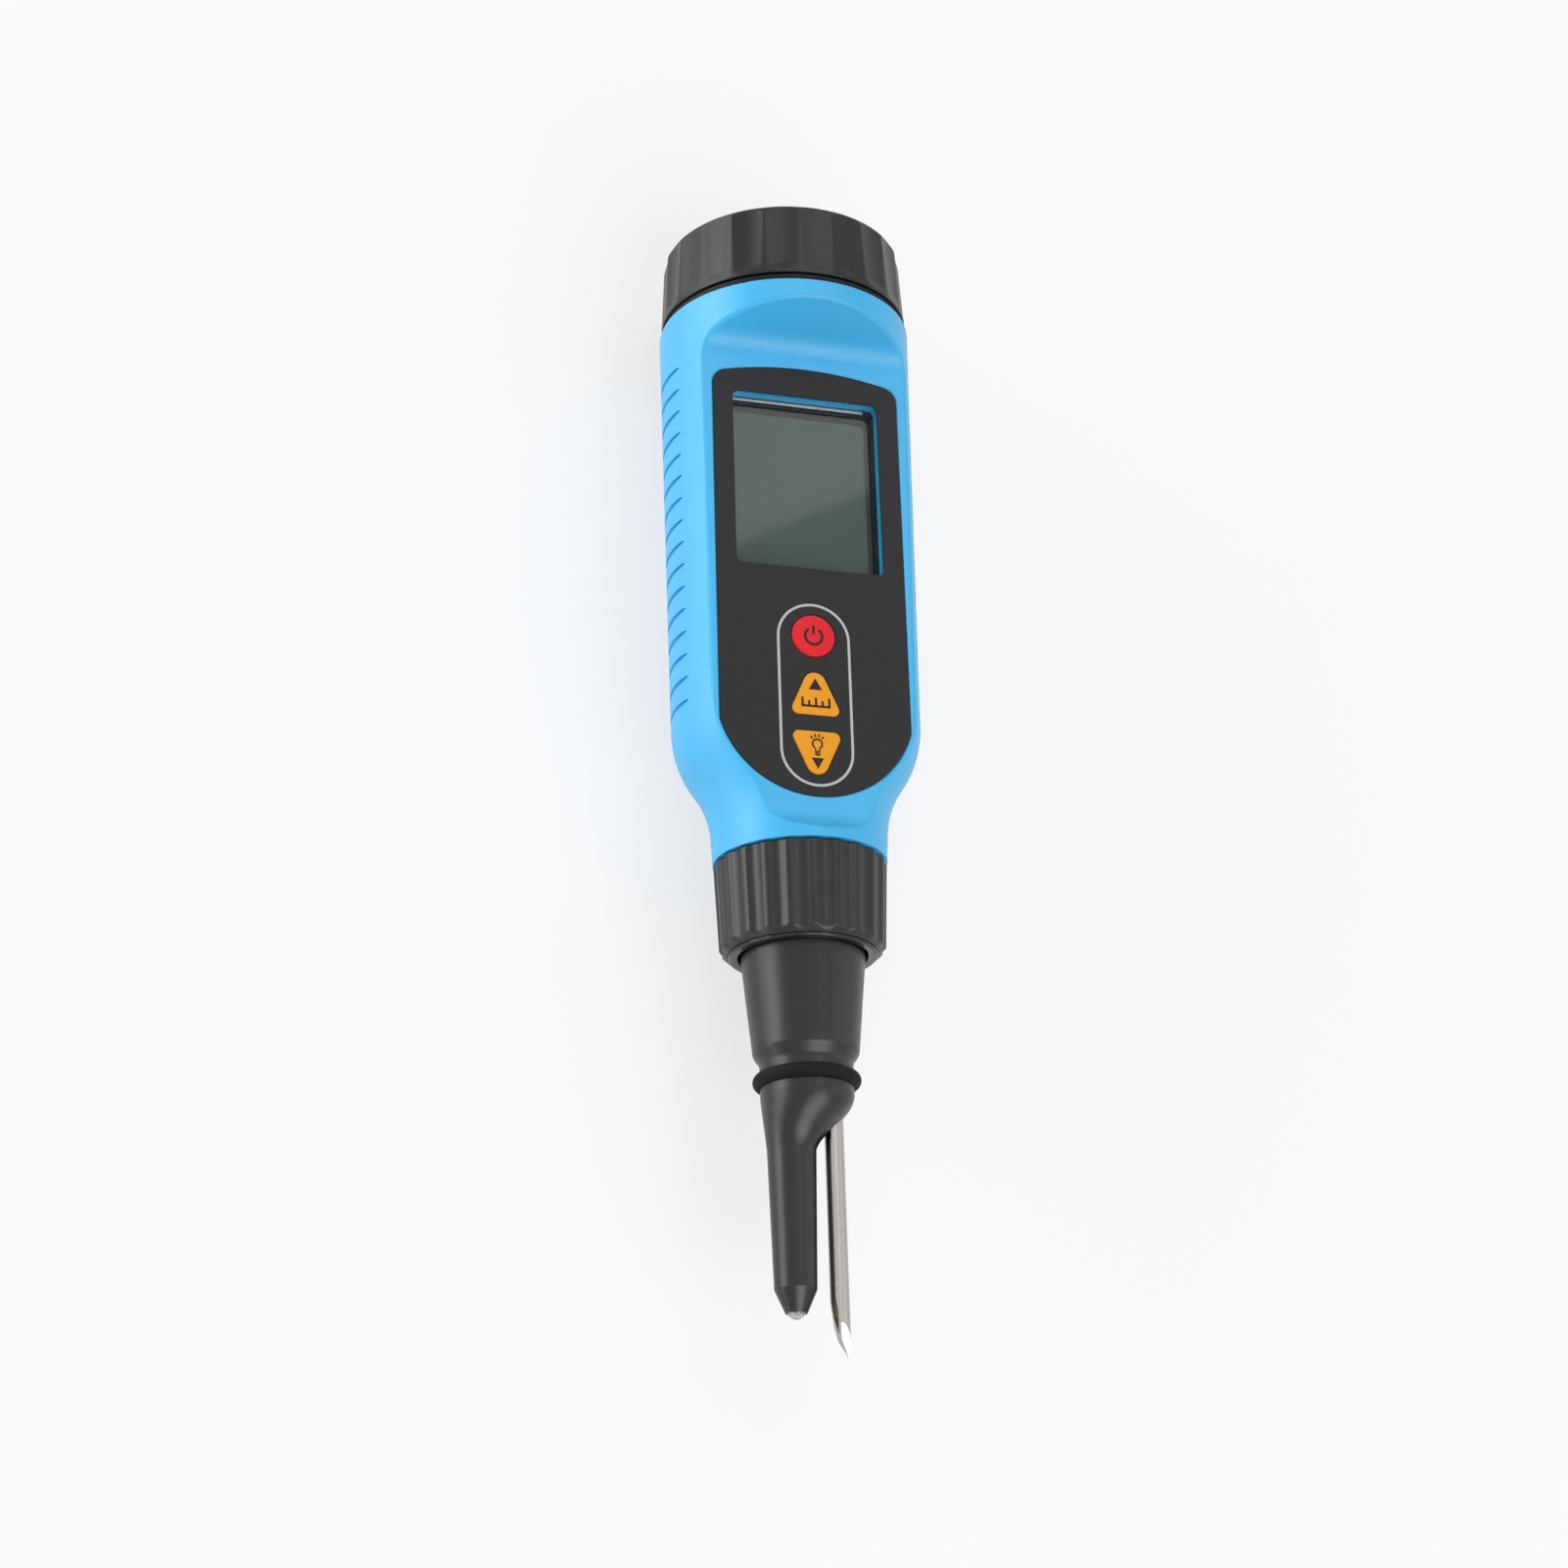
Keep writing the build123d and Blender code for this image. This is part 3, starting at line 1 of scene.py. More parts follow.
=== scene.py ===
"""Looks of a pen-style food pH meter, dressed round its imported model.

The pen lies on its back. Pen coordinates are in millimetres: x to the right of the face, y along the pen
from the joint between body and collar towards the battery cap, and z out of the face, from the axis.
"""

from __future__ import annotations

import logging
import math
from collections.abc import Callable, Sequence
from dataclasses import dataclass, field
from enum import Enum

import bpy
from mathutils import Matrix, Vector


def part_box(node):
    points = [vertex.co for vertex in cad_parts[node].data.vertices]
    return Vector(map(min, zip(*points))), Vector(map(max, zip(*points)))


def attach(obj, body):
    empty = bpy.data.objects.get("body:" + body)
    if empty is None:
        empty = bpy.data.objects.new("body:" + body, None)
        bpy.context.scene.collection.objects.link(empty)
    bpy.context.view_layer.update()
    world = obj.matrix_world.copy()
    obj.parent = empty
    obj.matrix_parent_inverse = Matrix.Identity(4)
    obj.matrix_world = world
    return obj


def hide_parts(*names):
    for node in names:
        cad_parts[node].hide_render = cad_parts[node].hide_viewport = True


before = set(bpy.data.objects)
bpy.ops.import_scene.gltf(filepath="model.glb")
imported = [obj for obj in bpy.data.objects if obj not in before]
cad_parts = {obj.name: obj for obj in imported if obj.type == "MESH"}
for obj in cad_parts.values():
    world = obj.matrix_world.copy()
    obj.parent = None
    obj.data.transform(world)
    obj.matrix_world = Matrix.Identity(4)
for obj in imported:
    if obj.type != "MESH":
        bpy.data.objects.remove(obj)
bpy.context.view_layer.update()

MM = 0.001
COLLAR_GAP_MM = 0.3
# How far a print or a pane reaches into what carries it
SUNK_MM = 0.05
# Ridges between flutes stay smooth up to this angle
GRIP_SHARP_DEG = 50.0
# Longest run of a turned profile between two rings of points
LONGEST_RUN_MM = 0.8
log = logging.getLogger("ph_meter")

Point2 = tuple[float, float]
Profile = list[Point2]
Shaper = Callable[[float, float, float], float]


def linear(red: int, green: int, blue: int) -> tuple[float, float, float, float]:
    """Turn an 8-bit screen colour into the shader's linear colour.

    Args:
        red, green, blue: the colour as a screen shows it, 0 to 255 each.

    Returns:
        Linear red, green, blue and an alpha of 1.
    """
    def channel(value: int) -> float:
        """Linear value of one channel."""
        share = value / 255
        return share / 12.92 if share <= 0.04045 else ((share + 0.055) / 1.055) ** 2.4

    return channel(red), channel(green), channel(blue), 1.0


@dataclass(frozen=True)
class Pen:
    """Where the pen's own coordinates lie in the frame, in metres."""

    joint_y: float
    axis_z: float

    @classmethod
    def from_frame(cls) -> Pen:
        """Read the axis and the joint from the collar."""
        low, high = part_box("collar")
        return cls(joint_y=high.y + COLLAR_GAP_MM * MM, axis_z=(low.z + high.z) / 2)

    def point(self, x: float, y: float, z: float) -> Vector:
        """Frame point, in metres, of a pen point in millimetres."""
        return Vector((x * MM, y * MM + self.joint_y, z * MM + self.axis_z))

    def around(self, radius: float, y: float, angle: float) -> Vector:
        """Frame point at a radius, station and angle from +x towards +z."""
        return self.point(radius * math.cos(angle), y, radius * math.sin(angle))

    def face_z(self, node: str) -> float:
        """Height of a node's upper side above the axis, in millimetres."""
        return (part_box(node)[1].z - self.axis_z) / MM

    def top_y(self, node: str) -> float:
        """Station of a node's cap end, in millimetres."""
        return (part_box(node)[1].y - self.joint_y) / MM

    def low_y(self, node: str) -> float:
        """Station of a node's probe end, in millimetres."""
        return (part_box(node)[0].y - self.joint_y) / MM


@dataclass(frozen=True)
class Grain:
    """Fine relief: bumps of a typical width and height, drawn out along an axis if stretched."""

    size_mm: float
    height_mm: float
    detail: float = 2.0
    stretch: tuple[float, float, float] = (1.0, 1.0, 1.0)


@dataclass(frozen=True)
class Finish:
    """One procedural surface finish.

    Args:
        name: material name.
        colour: 8-bit screen colour.
        roughness: mean roughness.
        grains: reliefs, coarse to fine.
        tint_spread: how far the colour wanders over the surface, as a share.
        roughness_spread: how far the roughness wanders.
        mottle_mm: width of the colour patches.
        mottle_stretch: how far the patches are drawn out along each axis; a small share is a long streak.
        metallic, specular, transmission, alpha: the shader's own settings.
    """

    name: str
    colour: tuple[int, int, int]
    roughness: float
    grains: tuple[Grain, ...] = ()
    tint_spread: float = 0.04
    roughness_spread: float = 0.06
    mottle_mm: float = 3.0
    mottle_stretch: tuple[float, float, float] = (1.0, 1.0, 1.0)
    metallic: float = 0.0
    specular: float = 0.5
    transmission: float = 0.0
    alpha: float = 1.0

    def material(self) -> bpy.types.Material:
        """Build the material once and hand it out from then on."""
        own_name = "meter_" + self.name
        found = bpy.data.materials.get(own_name)
        if found is not None:
            return found
        made = bpy.data.materials.new(own_name)
        made.use_nodes = True
        tree = made.node_tree
        shader = tree.nodes["Principled BSDF"]
        place = tree.nodes.new("ShaderNodeTexCoord").outputs["Object"]
        self.set_constants(shader)
        self.add_colour(tree, shader, place)
        self.add_roughness(tree, shader, place)
        self.add_relief(tree, shader, place)
        return made

    def set_constants(self, shader: bpy.types.ShaderNode) -> None:
        """Set what is the same all over the surface on the shader's own sockets."""
        values = {
            "Metallic": self.metallic, "Specular IOR Level": self.specular,
            "Transmission Weight": self.transmission, "Alpha": self.alpha,
        }
        for socket, value in values.items():
            shader.inputs[socket].default_value = value

    def noise(
        self, tree: bpy.types.NodeTree, place: bpy.types.NodeSocket, grain: Grain
    ) -> bpy.types.NodeSocket:
        """Noise of a grain's size, from 0 to 1."""
        mapping = tree.nodes.new("ShaderNodeMapping")
        mapping.inputs["Scale"].default_value = grain.stretch
        tree.links.new(place, mapping.inputs["Vector"])
        texture = tree.nodes.new("ShaderNodeTexNoise")
        texture.inputs["Scale"].default_value = 1 / (grain.size_mm * MM)
        texture.inputs["Detail"].default_value = grain.detail
        tree.links.new(mapping.outputs["Vector"], texture.inputs["Vector"])
        return texture.outputs["Fac"]

    def add_colour(
        self, tree: bpy.types.NodeTree, shader: bpy.types.ShaderNode, place: bpy.types.NodeSocket
    ) -> None:
        """Let the colour wander a little about its mean."""
        mean = linear(*self.colour)
        mix = tree.nodes.new("ShaderNodeMix")
        mix.data_type = "RGBA"
        dark, light = (1 - self.tint_spread), (1 + self.tint_spread)
        mix.inputs["A"].default_value = (*(c * dark for c in mean[:3]), 1.0)
        mix.inputs["B"].default_value = (*(c * light for c in mean[:3]), 1.0)
        patches = Grain(self.mottle_mm, 0, stretch=self.mottle_stretch)
        tree.links.new(self.noise(tree, place, patches), mix.inputs["Factor"])
        tree.links.new(mix.outputs["Result"], shader.inputs["Base Color"])

    def add_roughness(
        self, tree: bpy.types.NodeTree, shader: bpy.types.ShaderNode, place: bpy.types.NodeSocket
    ) -> None:
        """Let the roughness wander in patches, as handling and moulding leave it."""
        spread = tree.nodes.new("ShaderNodeMapRange")
        spread.inputs["To Min"].default_value = max(0.0, self.roughness - self.roughness_spread)
        spread.inputs["To Max"].default_value = min(1.0, self.roughness + self.roughness_spread)
        tree.links.new(self.noise(tree, place, Grain(self.mottle_mm / 2, 0)), spread.inputs["Value"])
        tree.links.new(spread.outputs["Result"], shader.inputs["Roughness"])

    def add_relief(
        self, tree: bpy.types.NodeTree, shader: bpy.types.ShaderNode, place: bpy.types.NodeSocket
    ) -> None:
        """Chain one bump for each grain."""
        below = None
        for grain in self.grains:
            bump = tree.nodes.new("ShaderNodeBump")
            bump.inputs["Strength"].default_value = 1.0
            bump.inputs["Distance"].default_value = grain.height_mm * MM
            tree.links.new(self.noise(tree, place, grain), bump.inputs["Height"])
            if below is not None:
                tree.links.new(below, bump.inputs["Normal"])
            below = bump.outputs["Normal"]
        if below is not None:
            tree.links.new(below, shader.inputs["Normal"])


class Finishes(Enum):
    """Every finish of the meter."""

    SHELL = Finish(
        "sky_blue_shell", (62, 180, 235), 0.4, (Grain(1.6, 0.012, 1.0), Grain(0.42, 0.014, 1.0)),
        0.02, 0.05, 6.0, specular=0.55,
    )
    OVERLAY = Finish(
        "black_overlay", (31, 31, 33), 0.6, (Grain(0.28, 0.006),), 0.22, 0.06, 0.35, specular=0.3
    )
    CAP = Finish(
        "satin_black_cap", (24, 24, 27), 0.34, (Grain(0.35, 0.003),), 0.08, 0.06, 2.5, specular=0.35
    )
    COLLAR = Finish(
        "satin_black_collar", (19, 19, 21), 0.34, (Grain(0.35, 0.003),), 0.08, 0.06, 2.5, specular=0.5
    )
    PROBE = Finish(
        "satin_black_probe", (20, 20, 23), 0.34, (Grain(0.5, 0.003),), 0.08, 0.06, 3.0, specular=0.52
    )
    NECK = Finish("black_neck", (14, 14, 16), 0.55, (Grain(0.35, 0.003),), 0.06, specular=0.2)
    RING = Finish("gloss_black_ring", (22, 22, 24), 0.16, (Grain(1.5, 0.002),), 0.05, 0.03)
    RUBBER = Finish("black_rubber", (16, 16, 17), 0.7, (Grain(0.4, 0.006),), 0.1, 0.08, specular=0.2)
    RED_KEY = Finish("red_key", (226, 26, 40), 0.5, (Grain(0.3, 0.003),), 0.03, specular=0.3)
    ORANGE_KEY = Finish("orange_key", (238, 158, 26), 0.5, (Grain(0.3, 0.003),), 0.03, specular=0.3)
    PALE_PRINT = Finish(
        "pale_grey_print", (186, 192, 192), 0.5, (Grain(0.2, 0.001),), 0.05, 0.05, 0.6, specular=0.3
    )
    DARK_PRINT = Finish(
        "dark_print", (40, 18, 12), 0.5, (Grain(0.2, 0.001),), 0.1, 0.05, 0.6, specular=0.25
    )
    BLADE = Finish(
        "ground_steel", (176, 171, 166), 0.3,
        (Grain(0.1, 0.0016, 3.0, (1.0, 0.03, 1.0)), Grain(0.5, 0.004, 2.0, (1.0, 0.06, 1.0))),
        0.16, 0.08, 0.35, (1.0, 0.03, 1.0), metallic=1.0,
    )
    WINDOW = Finish(
        "clear_window", (30, 36, 36), 0.05, (Grain(4.0, 0.001),), 0.01, 0.01, alpha=0.05, specular=0.5
    )
    GLASS = Finish(
        "electrode_glass", (236, 240, 242), 0.03, (Grain(1.2, 0.004),), 0.01, 0.01, transmission=0.85,
        alpha=0.7,
    )
    # Dark glass round the pane; where it shows at the top and the right of the pane it is partly painted
    # shade.
    LCD = Finish("display_dark_glass", (26, 34, 31), 0.04, (Grain(6.0, 0.0002),), 0.05, 0.02)
    LCD_PANE = Finish("display_pane", (70, 88, 80), 0.04, (Grain(6.0, 0.0002),), 0.03, 0.02, 8.0)
    BEZEL = Finish("bezel_sheet", (30, 31, 32), 0.35, (Grain(0.3, 0.002),), 0.05, metallic=0.4)
    # Bright metal strip on the bezel's top edge: a painted highlight, a lit copy of the dark bezel.
    PAINTED_HIGHLIGHT_LIP = Finish(
        "painted_highlight_bezel_lip", (206, 203, 204), 0.3, (Grain(0.4, 0.01),), 0.12, 0.1, 0.8, metallic=0.8
    )
    GUIDE = Finish("light_guide", (228, 232, 234), 0.3, (Grain(1.0, 0.001),), 0.02)
    BOARD = Finish("green_board", (22, 92, 52), 0.35, (Grain(0.4, 0.004),), 0.15, 0.05, 1.5)
    CHIP = Finish("chip_black", (28, 28, 30), 0.5, (Grain(0.15, 0.002),), 0.1)
    SCREW = Finish("plated_screw", (168, 168, 170), 0.3, (Grain(0.2, 0.002),), 0.05, metallic=1.0)
    INNER = Finish("grey_inner_plastic", (52, 53, 56), 0.5, (Grain(0.4, 0.004),), 0.06)
    CELL = Finish("cell_sleeve", (34, 38, 44), 0.28, (Grain(1.0, 0.002),), 0.1, 0.05, 4.0)
    CONTACT = Finish(
        "nickel_contact", (190, 186, 176), 0.28, (Grain(0.2, 0.002),), 0.05, metallic=1.0
    )
    GOLD = Finish("gold_plating", (214, 174, 92), 0.25, (Grain(0.2, 0.001),), 0.04, metallic=1.0)
    RIBBON = Finish("flat_cable", (176, 178, 182), 0.4, (Grain(0.5, 0.02, 1.0, (1.0, 0.02, 1.0)),), 0.05)
    SILVER = Finish("silver_wire", (205, 205, 206), 0.2, (Grain(0.1, 0.001),), 0.04, metallic=1.0)

    def material(self) -> bpy.types.Material:
        """Material of this finish."""
        return self.value.material()


@dataclass(frozen=True)
class Corner:
    """Corner of a profile: distance from the axis, station along it and rounding radius, in millimetres."""

    across: float
    along: float
    radius: float = 0.0


def rounded(corners: Sequence[Corner], closed: bool = False, steps: int = 6) -> Profile:
    """Points of a profile whose corners are rounded by arcs.

    Args:
        corners: the profile's corners in order.
        closed: whether the last corner joins the first.
        steps: segments in each arc.

    Returns:
        Points of across and along.
    """
    points: Profile = []
    count = len(corners)
    most_of_run = 0.49
    for index, corner in enumerate(corners):
        here = Vector((corner.across, corner.along))
        inner = closed or 0 < index < count - 1
        if corner.radius <= 0 or not inner:
            points.append((here.x, here.y))
            continue
        before = corners[index - 1]
        after = corners[(index + 1) % count]
        back = Vector((before.across, before.along)) - here
        ahead = Vector((after.across, after.along)) - here
        half = back.angle(ahead) / 2
        room = most_of_run * min(back.length, ahead.length)
        reach = min(corner.radius / math.tan(half), room)
        radius = reach * math.tan(half)
        centre = here + (back.normalized() + ahead.normalized()).normalized() * radius / math.sin(half)
        start = here + back.normalized() * reach - centre
        turn = start.angle_signed(here + ahead.normalized() * reach - centre)
        for step in range(steps + 1):
            arm = start.copy()
            arm.rotate(Matrix.Rotation(-turn * step / steps, 2))
            points.append((centre.x + arm.x, centre.y + arm.y))
    return points


def split_long(profile: Profile, longest: float, closed: bool = False) -> Profile:
    """Profile with points added, so that no run is longer than the longest, in millimetres."""
    count = len(profile)
    result: Profile = []
    for index in range(count if closed else count - 1):
        start, end = profile[index], profile[(index + 1) % count]
        pieces = max(1, math.ceil(math.dist(start, end) / longest))
        for piece in range(pieces):
            share = piece / pieces
            result.append(
                (start[0] + (end[0] - start[0]) * share, start[1] + (end[1] - start[1]) * share)
            )
    if not closed:
        result.append(profile[-1])
    return result


@dataclass
class Skin:
    """Points and faces of a piece while it is being made, in metres, in the frame."""

    points: list[Vector] = field(default_factory=list)
    faces: list[list[int]] = field(default_factory=list)

    def loft(self, rings: Sequence[Sequence[Vector]], closed: bool = False) -> Skin:
        """Join rings of equally many points, and close the ends.

        Args:
            rings: rings in order, each running the same way round.
            closed: whether the last ring joins the first, as on a tyre. Otherwise both ends get a lid.

        Returns:
            This skin, for the next step.
        """
        first = len(self.points)
        count = len(rings[0])
        total = len(rings)
        self.points.extend(p for ring in rings for p in ring)
        for row in range(total if closed else total - 1):
            here = first + row * count
            after = first + (row + 1) % total * count
            for column in range(count):
                beside = (column + 1) % count
                self.faces.append([here + column, here + beside, after + beside, after + column])
        if not closed:
            self.add_lid(first, count, True)
            self.add_lid(first + (total - 1) * count, count, False)
        return self

    def add_lid(self, first: int, count: int, flip: bool) -> None:
        """Close a ring of points with a fan round its middle."""
        rim = self.points[first:first + count]
        self.points.append(sum(rim, Vector()) / count)
        hub = len(self.points) - 1
        for column in range(count):
            side = [first + column, first + (column + 1) % count]
            self.faces.append([hub, *(reversed(side) if flip else side)])

    def piece(
        self, name: str, finish: Finishes, body: str, slot: str, replaced: Sequence[str] = (),
        sharp_deg: float = 38.0,
    ) -> bpy.types.Object:
        """Make the object, smooth up to an edge angle, and give it its body.

        Args:
            name: the piece's name.
            finish: its material.
            body: the body that it rides on.
            slot: the record's material slot; not used.
            replaced: CAD nodes that it stands for.
            sharp_deg: edges that turn by more than this stay sharp.

        Returns:
            The linked object.
        """
        mesh = bpy.data.meshes.new(name)
        mesh.from_pydata([tuple(p) for p in self.points], [], [tuple(f) for f in self.faces])
        mesh.validate()
        mesh.polygons.foreach_set("use_smooth", [True] * len(mesh.polygons))
        mesh.set_sharp_from_angle(angle=math.radians(sharp_deg))
        mesh.materials.append(finish.material())
        made = bpy.data.objects.new(name, mesh)
        bpy.context.scene.collection.objects.link(made)
        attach(made, body)
        if replaced:
            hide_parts(*replaced)
        log.info("%s: %d faces on %s", name, len(mesh.polygons), body)
        return made


def lathe_rings(
    pen: Pen, profile: Profile, segments: int, shape: Shaper | None = None
) -> list[list[Vector]]:
    """Rings of a profile turned about the pen's axis.

    Args:
        pen: where the pen lies.
        profile: points of radius and station.
        segments: steps round the axis.
        shape: gives the radius from the angle, radius and station, for flutes.

    Returns:
        One ring for each point of the profile.
    """
    angles = [-2 * math.pi * step / segments for step in range(segments)]
    return [
        [pen.around(shape(angle, radius, y) if shape else radius, y, angle) for angle in angles]
        for radius, y in profile
    ]


@dataclass(frozen=True)
class Hull:
    """Convex outline on the face, stretched round circles of x, y and radius, listed anticlockwise."""

    circles: tuple[tuple[float, float, float], ...]

    def outline(self, grow: float = 0.0, steps: int = 10) -> list[Point2]:
        """Points of the outline, as many for any growth.

        Args:
            grow: how far the outline moves out, in millimetres.
            steps: segments in each corner.

        Returns:
            Points of x and y, anticlockwise.
        """
        points: list[Point2] = []
        count = len(self.circles)
        for index, (x, y, radius) in enumerate(self.circles):
            if count == 1:
                start, end = 0.0, 2 * math.pi * (1 - 1 / (4 * steps))
                steps_here = 4 * steps - 1
            else:
                start = self.normal(index - 1)
                end = self.normal(index)
                end += 2 * math.pi * math.ceil((start - end) / (2 * math.pi))
                steps_here = steps
            for step in range(steps_here + 1):
                angle = start + (end - start) * step / steps_here
                points.append((
                    x + (radius + grow) * math.cos(angle), y + (radius + grow) * math.sin(angle),
                ))
        return points

    def normal(self, index: int) -> float:
        """Direction of the outward normal of the straight run that follows a circle, in radians."""
        here = self.circles[index % len(self.circles)]
        after = self.circles[(index + 1) % len(self.circles)]
        run = Vector((after[0] - here[0], after[1] - here[1]))
        lean = math.asin((here[2] - after[2]) / run.length)
        return math.atan2(run.y, run.x) - math.pi / 2 + lean


def flat_rings(pen: Pen, shape: Hull, layers: Sequence[Point2], steps: int = 10) -> list[list[Vector]]:
    """Rings of an outline on the face, one for each layer of growth and height."""
    return [[pen.point(x, y, z) for x, y in shape.outline(grow, steps)] for grow, z in layers]


def stroke_rings(
    pen: Pen, path: Sequence[Point2], width: float, low: float, high: float
) -> list[list[Vector]]:
    """Cross-sections of a printed stroke of even width along a path on the face.

    Args:
        pen: where the pen lies.
        path: points of x and y that the stroke follows.
        width: its width, in millimetres.
        low, high: its lower and upper side above the axis.

    Returns:
        One ring of four points for each point of the path.
    """
    rings = []
    for index, here in enumerate(path):
        before = path[max(index - 1, 0)]
        after = path[min(index + 1, len(path) - 1)]
        run = Vector((after[0] - before[0], after[1] - before[1])).normalized() * (width / 2)
        left = (here[0] - run.y, here[1] + run.x)
        right = (here[0] + run.y, here[1] - run.x)
        rings.append([
            pen.point(*right, low), pen.point(*right, high), pen.point(*left, high), pen.point(*left, low),
        ])
    return rings


def arc(centre: Point2, radius: float, start_deg: float, end_deg: float, steps: int = 24) -> list[Point2]:
    """Points of an arc on the face."""
    angles = [
        math.radians(start_deg + (end_deg - start_deg) * step / steps) for step in range(steps + 1)
    ]
    return [(centre[0] + radius * math.cos(a), centre[1] + radius * math.sin(a)) for a in angles]


def softer_minimum(first: float, second: float, softness: float) -> float:
    """Lesser of two values, with a rounded change from one to the other."""
    return 0.5 * (first + second - math.hypot(first - second, softness))


@dataclass(frozen=True)
class Fluting:
    """Shallow hollows round a tapered grip, with a hollow at the top and at the bottom of the face side.

    Args:
        count: hollows round the grip.
        hollow_radius: radius of each hollow.
        low: radius, station and depth of the hollows at the probe end.
        high: the same at the cap end.
        run_in: length over which the hollows begin at the probe end.
        softness: rounding of the ridges between the hollows.
    """

    count: int
    hollow_radius: float
    low: tuple[float, float, float]
    high: tuple[float, float, float]
    run_in: float = 0.0
    softness: float = 0.06

    def radius(self, angle: float, radius: float, y: float) -> float:
        """Radius of the grip at an angle and a station."""
        share = (y - self.low[1]) / (self.high[1] - self.low[1])
        grip = self.low[0] + (self.high[0] - self.low[0]) * share
        depth = self.low[2] + (self.high[2] - self.low[2]) * share
        if self.run_in > 0:
            depth *= min(1.0, max(0.0, (y - self.low[1]) / self.run_in))
        if depth <= 0:
            return radius
        pitch = 2 * math.pi / self.count
        from_valley = (angle - math.pi / 2 + pitch / 2) % pitch - pitch / 2
        floor = grip - depth + (from_valley * grip) ** 2 / (2 * self.hollow_radius)
        return softer_minimum(radius, floor, self.softness * min(1.0, depth / self.softness))


@dataclass(frozen=True)
class BatteryCap:
    """Fluted screw cap with a rounded edge, a plain rim and a plain inner wall."""

    pen: Pen
    rim_radius: float = 19.6
    top_radius: float = 19.0
    rim_height: float = 0.7
    edge_radius: float = 1.6
    bore_radius: float = 17.49
    bore_depth: float = 9.8
    flutes: int = 22
    flute_radius: float = 8.5
    low_depth: float = 0.3
    high_depth: float = 0.45
    flute_run_in: float = 0.25
    lip_round: float = 0.2
    bore_round: float = 0.5
    axis_radius: float = 0.05
    steps_a_flute: int = 24
    steps_a_corner: int = 10

    def build(self) -> None:
        """Build the cap in place of its plain solid."""
        low, high = self.pen.low_y("battery_cap"), self.pen.top_y("battery_cap")
        rim_y = low + self.rim_height
        fluting = Fluting(
            self.flutes, self.flute_radius, (self.rim_radius, rim_y, self.low_depth),
            (self.top_radius, high, self.high_depth), run_in=self.flute_run_in,
        )

        def shape(angle: float, radius: float, y: float) -> float:
            """Flutes on the outside only."""
            outside = radius > self.bore_radius + self.lip_round
            return fluting.radius(angle, radius, y) if outside else radius

        profile = split_long(rounded([
            Corner(self.axis_radius, high),
            Corner(self.top_radius, high, self.edge_radius),
            Corner(self.rim_radius, rim_y),
            Corner(self.rim_radius, low, self.lip_round),
            Corner(self.bore_radius, low, self.lip_round),
            Corner(self.bore_radius, low + self.bore_depth, self.bore_round),
            Corner(self.axis_radius, low + self.bore_depth),
        ], steps=self.steps_a_corner), LONGEST_RUN_MM)
        rings = lathe_rings(self.pen, profile, self.flutes * self.steps_a_flute, shape)
        Skin().loft(rings).piece(
            "battery_cap_grip", Finishes.CAP, "battery_cap", "black_plastic", ["battery_cap"],
            GRIP_SHARP_DEG,
        )


@dataclass(frozen=True)
class Collar:
    """Fluted union nut with a bevelled lower end and an inner lip."""

    pen: Pen
    top_radius: float = 13.1
    low_radius: float = 12.5
    bevel_length: float = 0.9
    bevel_depth: float = 1.0
    bore_radius: float = 11.3
    ring_radius: float = 11.2
    ring_seat: float = 1.4
    lip_radius: float = 9.7
    lip_height: float = 3.0
    flutes: int = 22
    flute_radius: float = 2.0
    flute_depth: float = 0.5
    flute_softness: float = 0.09
    bore_round: float = 0.15
    top_round: float = 0.25
    bevel_round: float = 0.35
    low_round: float = 0.12
    least_wall: float = 0.1
    steps_a_flute: int = 20

    def build(self) -> None:
        """Build the collar in place of its plain solid."""
        low, high = self.pen.low_y("collar"), self.pen.top_y("collar")
        fluting = Fluting(
            self.flutes, self.flute_radius, (self.low_radius, low, self.flute_depth),
            (self.top_radius, high, self.flute_depth), softness=self.flute_softness,
        )

        def shape(angle: float, radius: float, y: float) -> float:
            """Flutes on the outside only."""
            outside = radius > self.bore_radius + self.least_wall
            return fluting.radius(angle, radius, y) if outside else radius

        profile = split_long(rounded([
            Corner(self.bore_radius, high, self.bore_round),
            Corner(self.top_radius, high, self.top_round),
            Corner(self.low_radius, low + self.bevel_length, self.bevel_round),
            Corner(self.low_radius - self.bevel_depth, low, self.low_round),
            Corner(self.ring_radius, low),
            Corner(self.ring_radius, low + self.ring_seat),
            Corner(self.lip_radius, low + self.ring_seat),
            Corner(self.lip_radius, low + self.lip_height),
            Corner(self.bore_radius, low + self.lip_height),
        ], closed=True), LONGEST_RUN_MM, closed=True)
        rings = lathe_rings(self.pen, profile, self.flutes * self.steps_a_flute, shape)
        rings.reverse()
        Skin().loft(rings, closed=True).piece(
            "collar_grip", Finishes.COLLAR, "collar", "black_plastic", ["collar"], GRIP_SHARP_DEG
        )


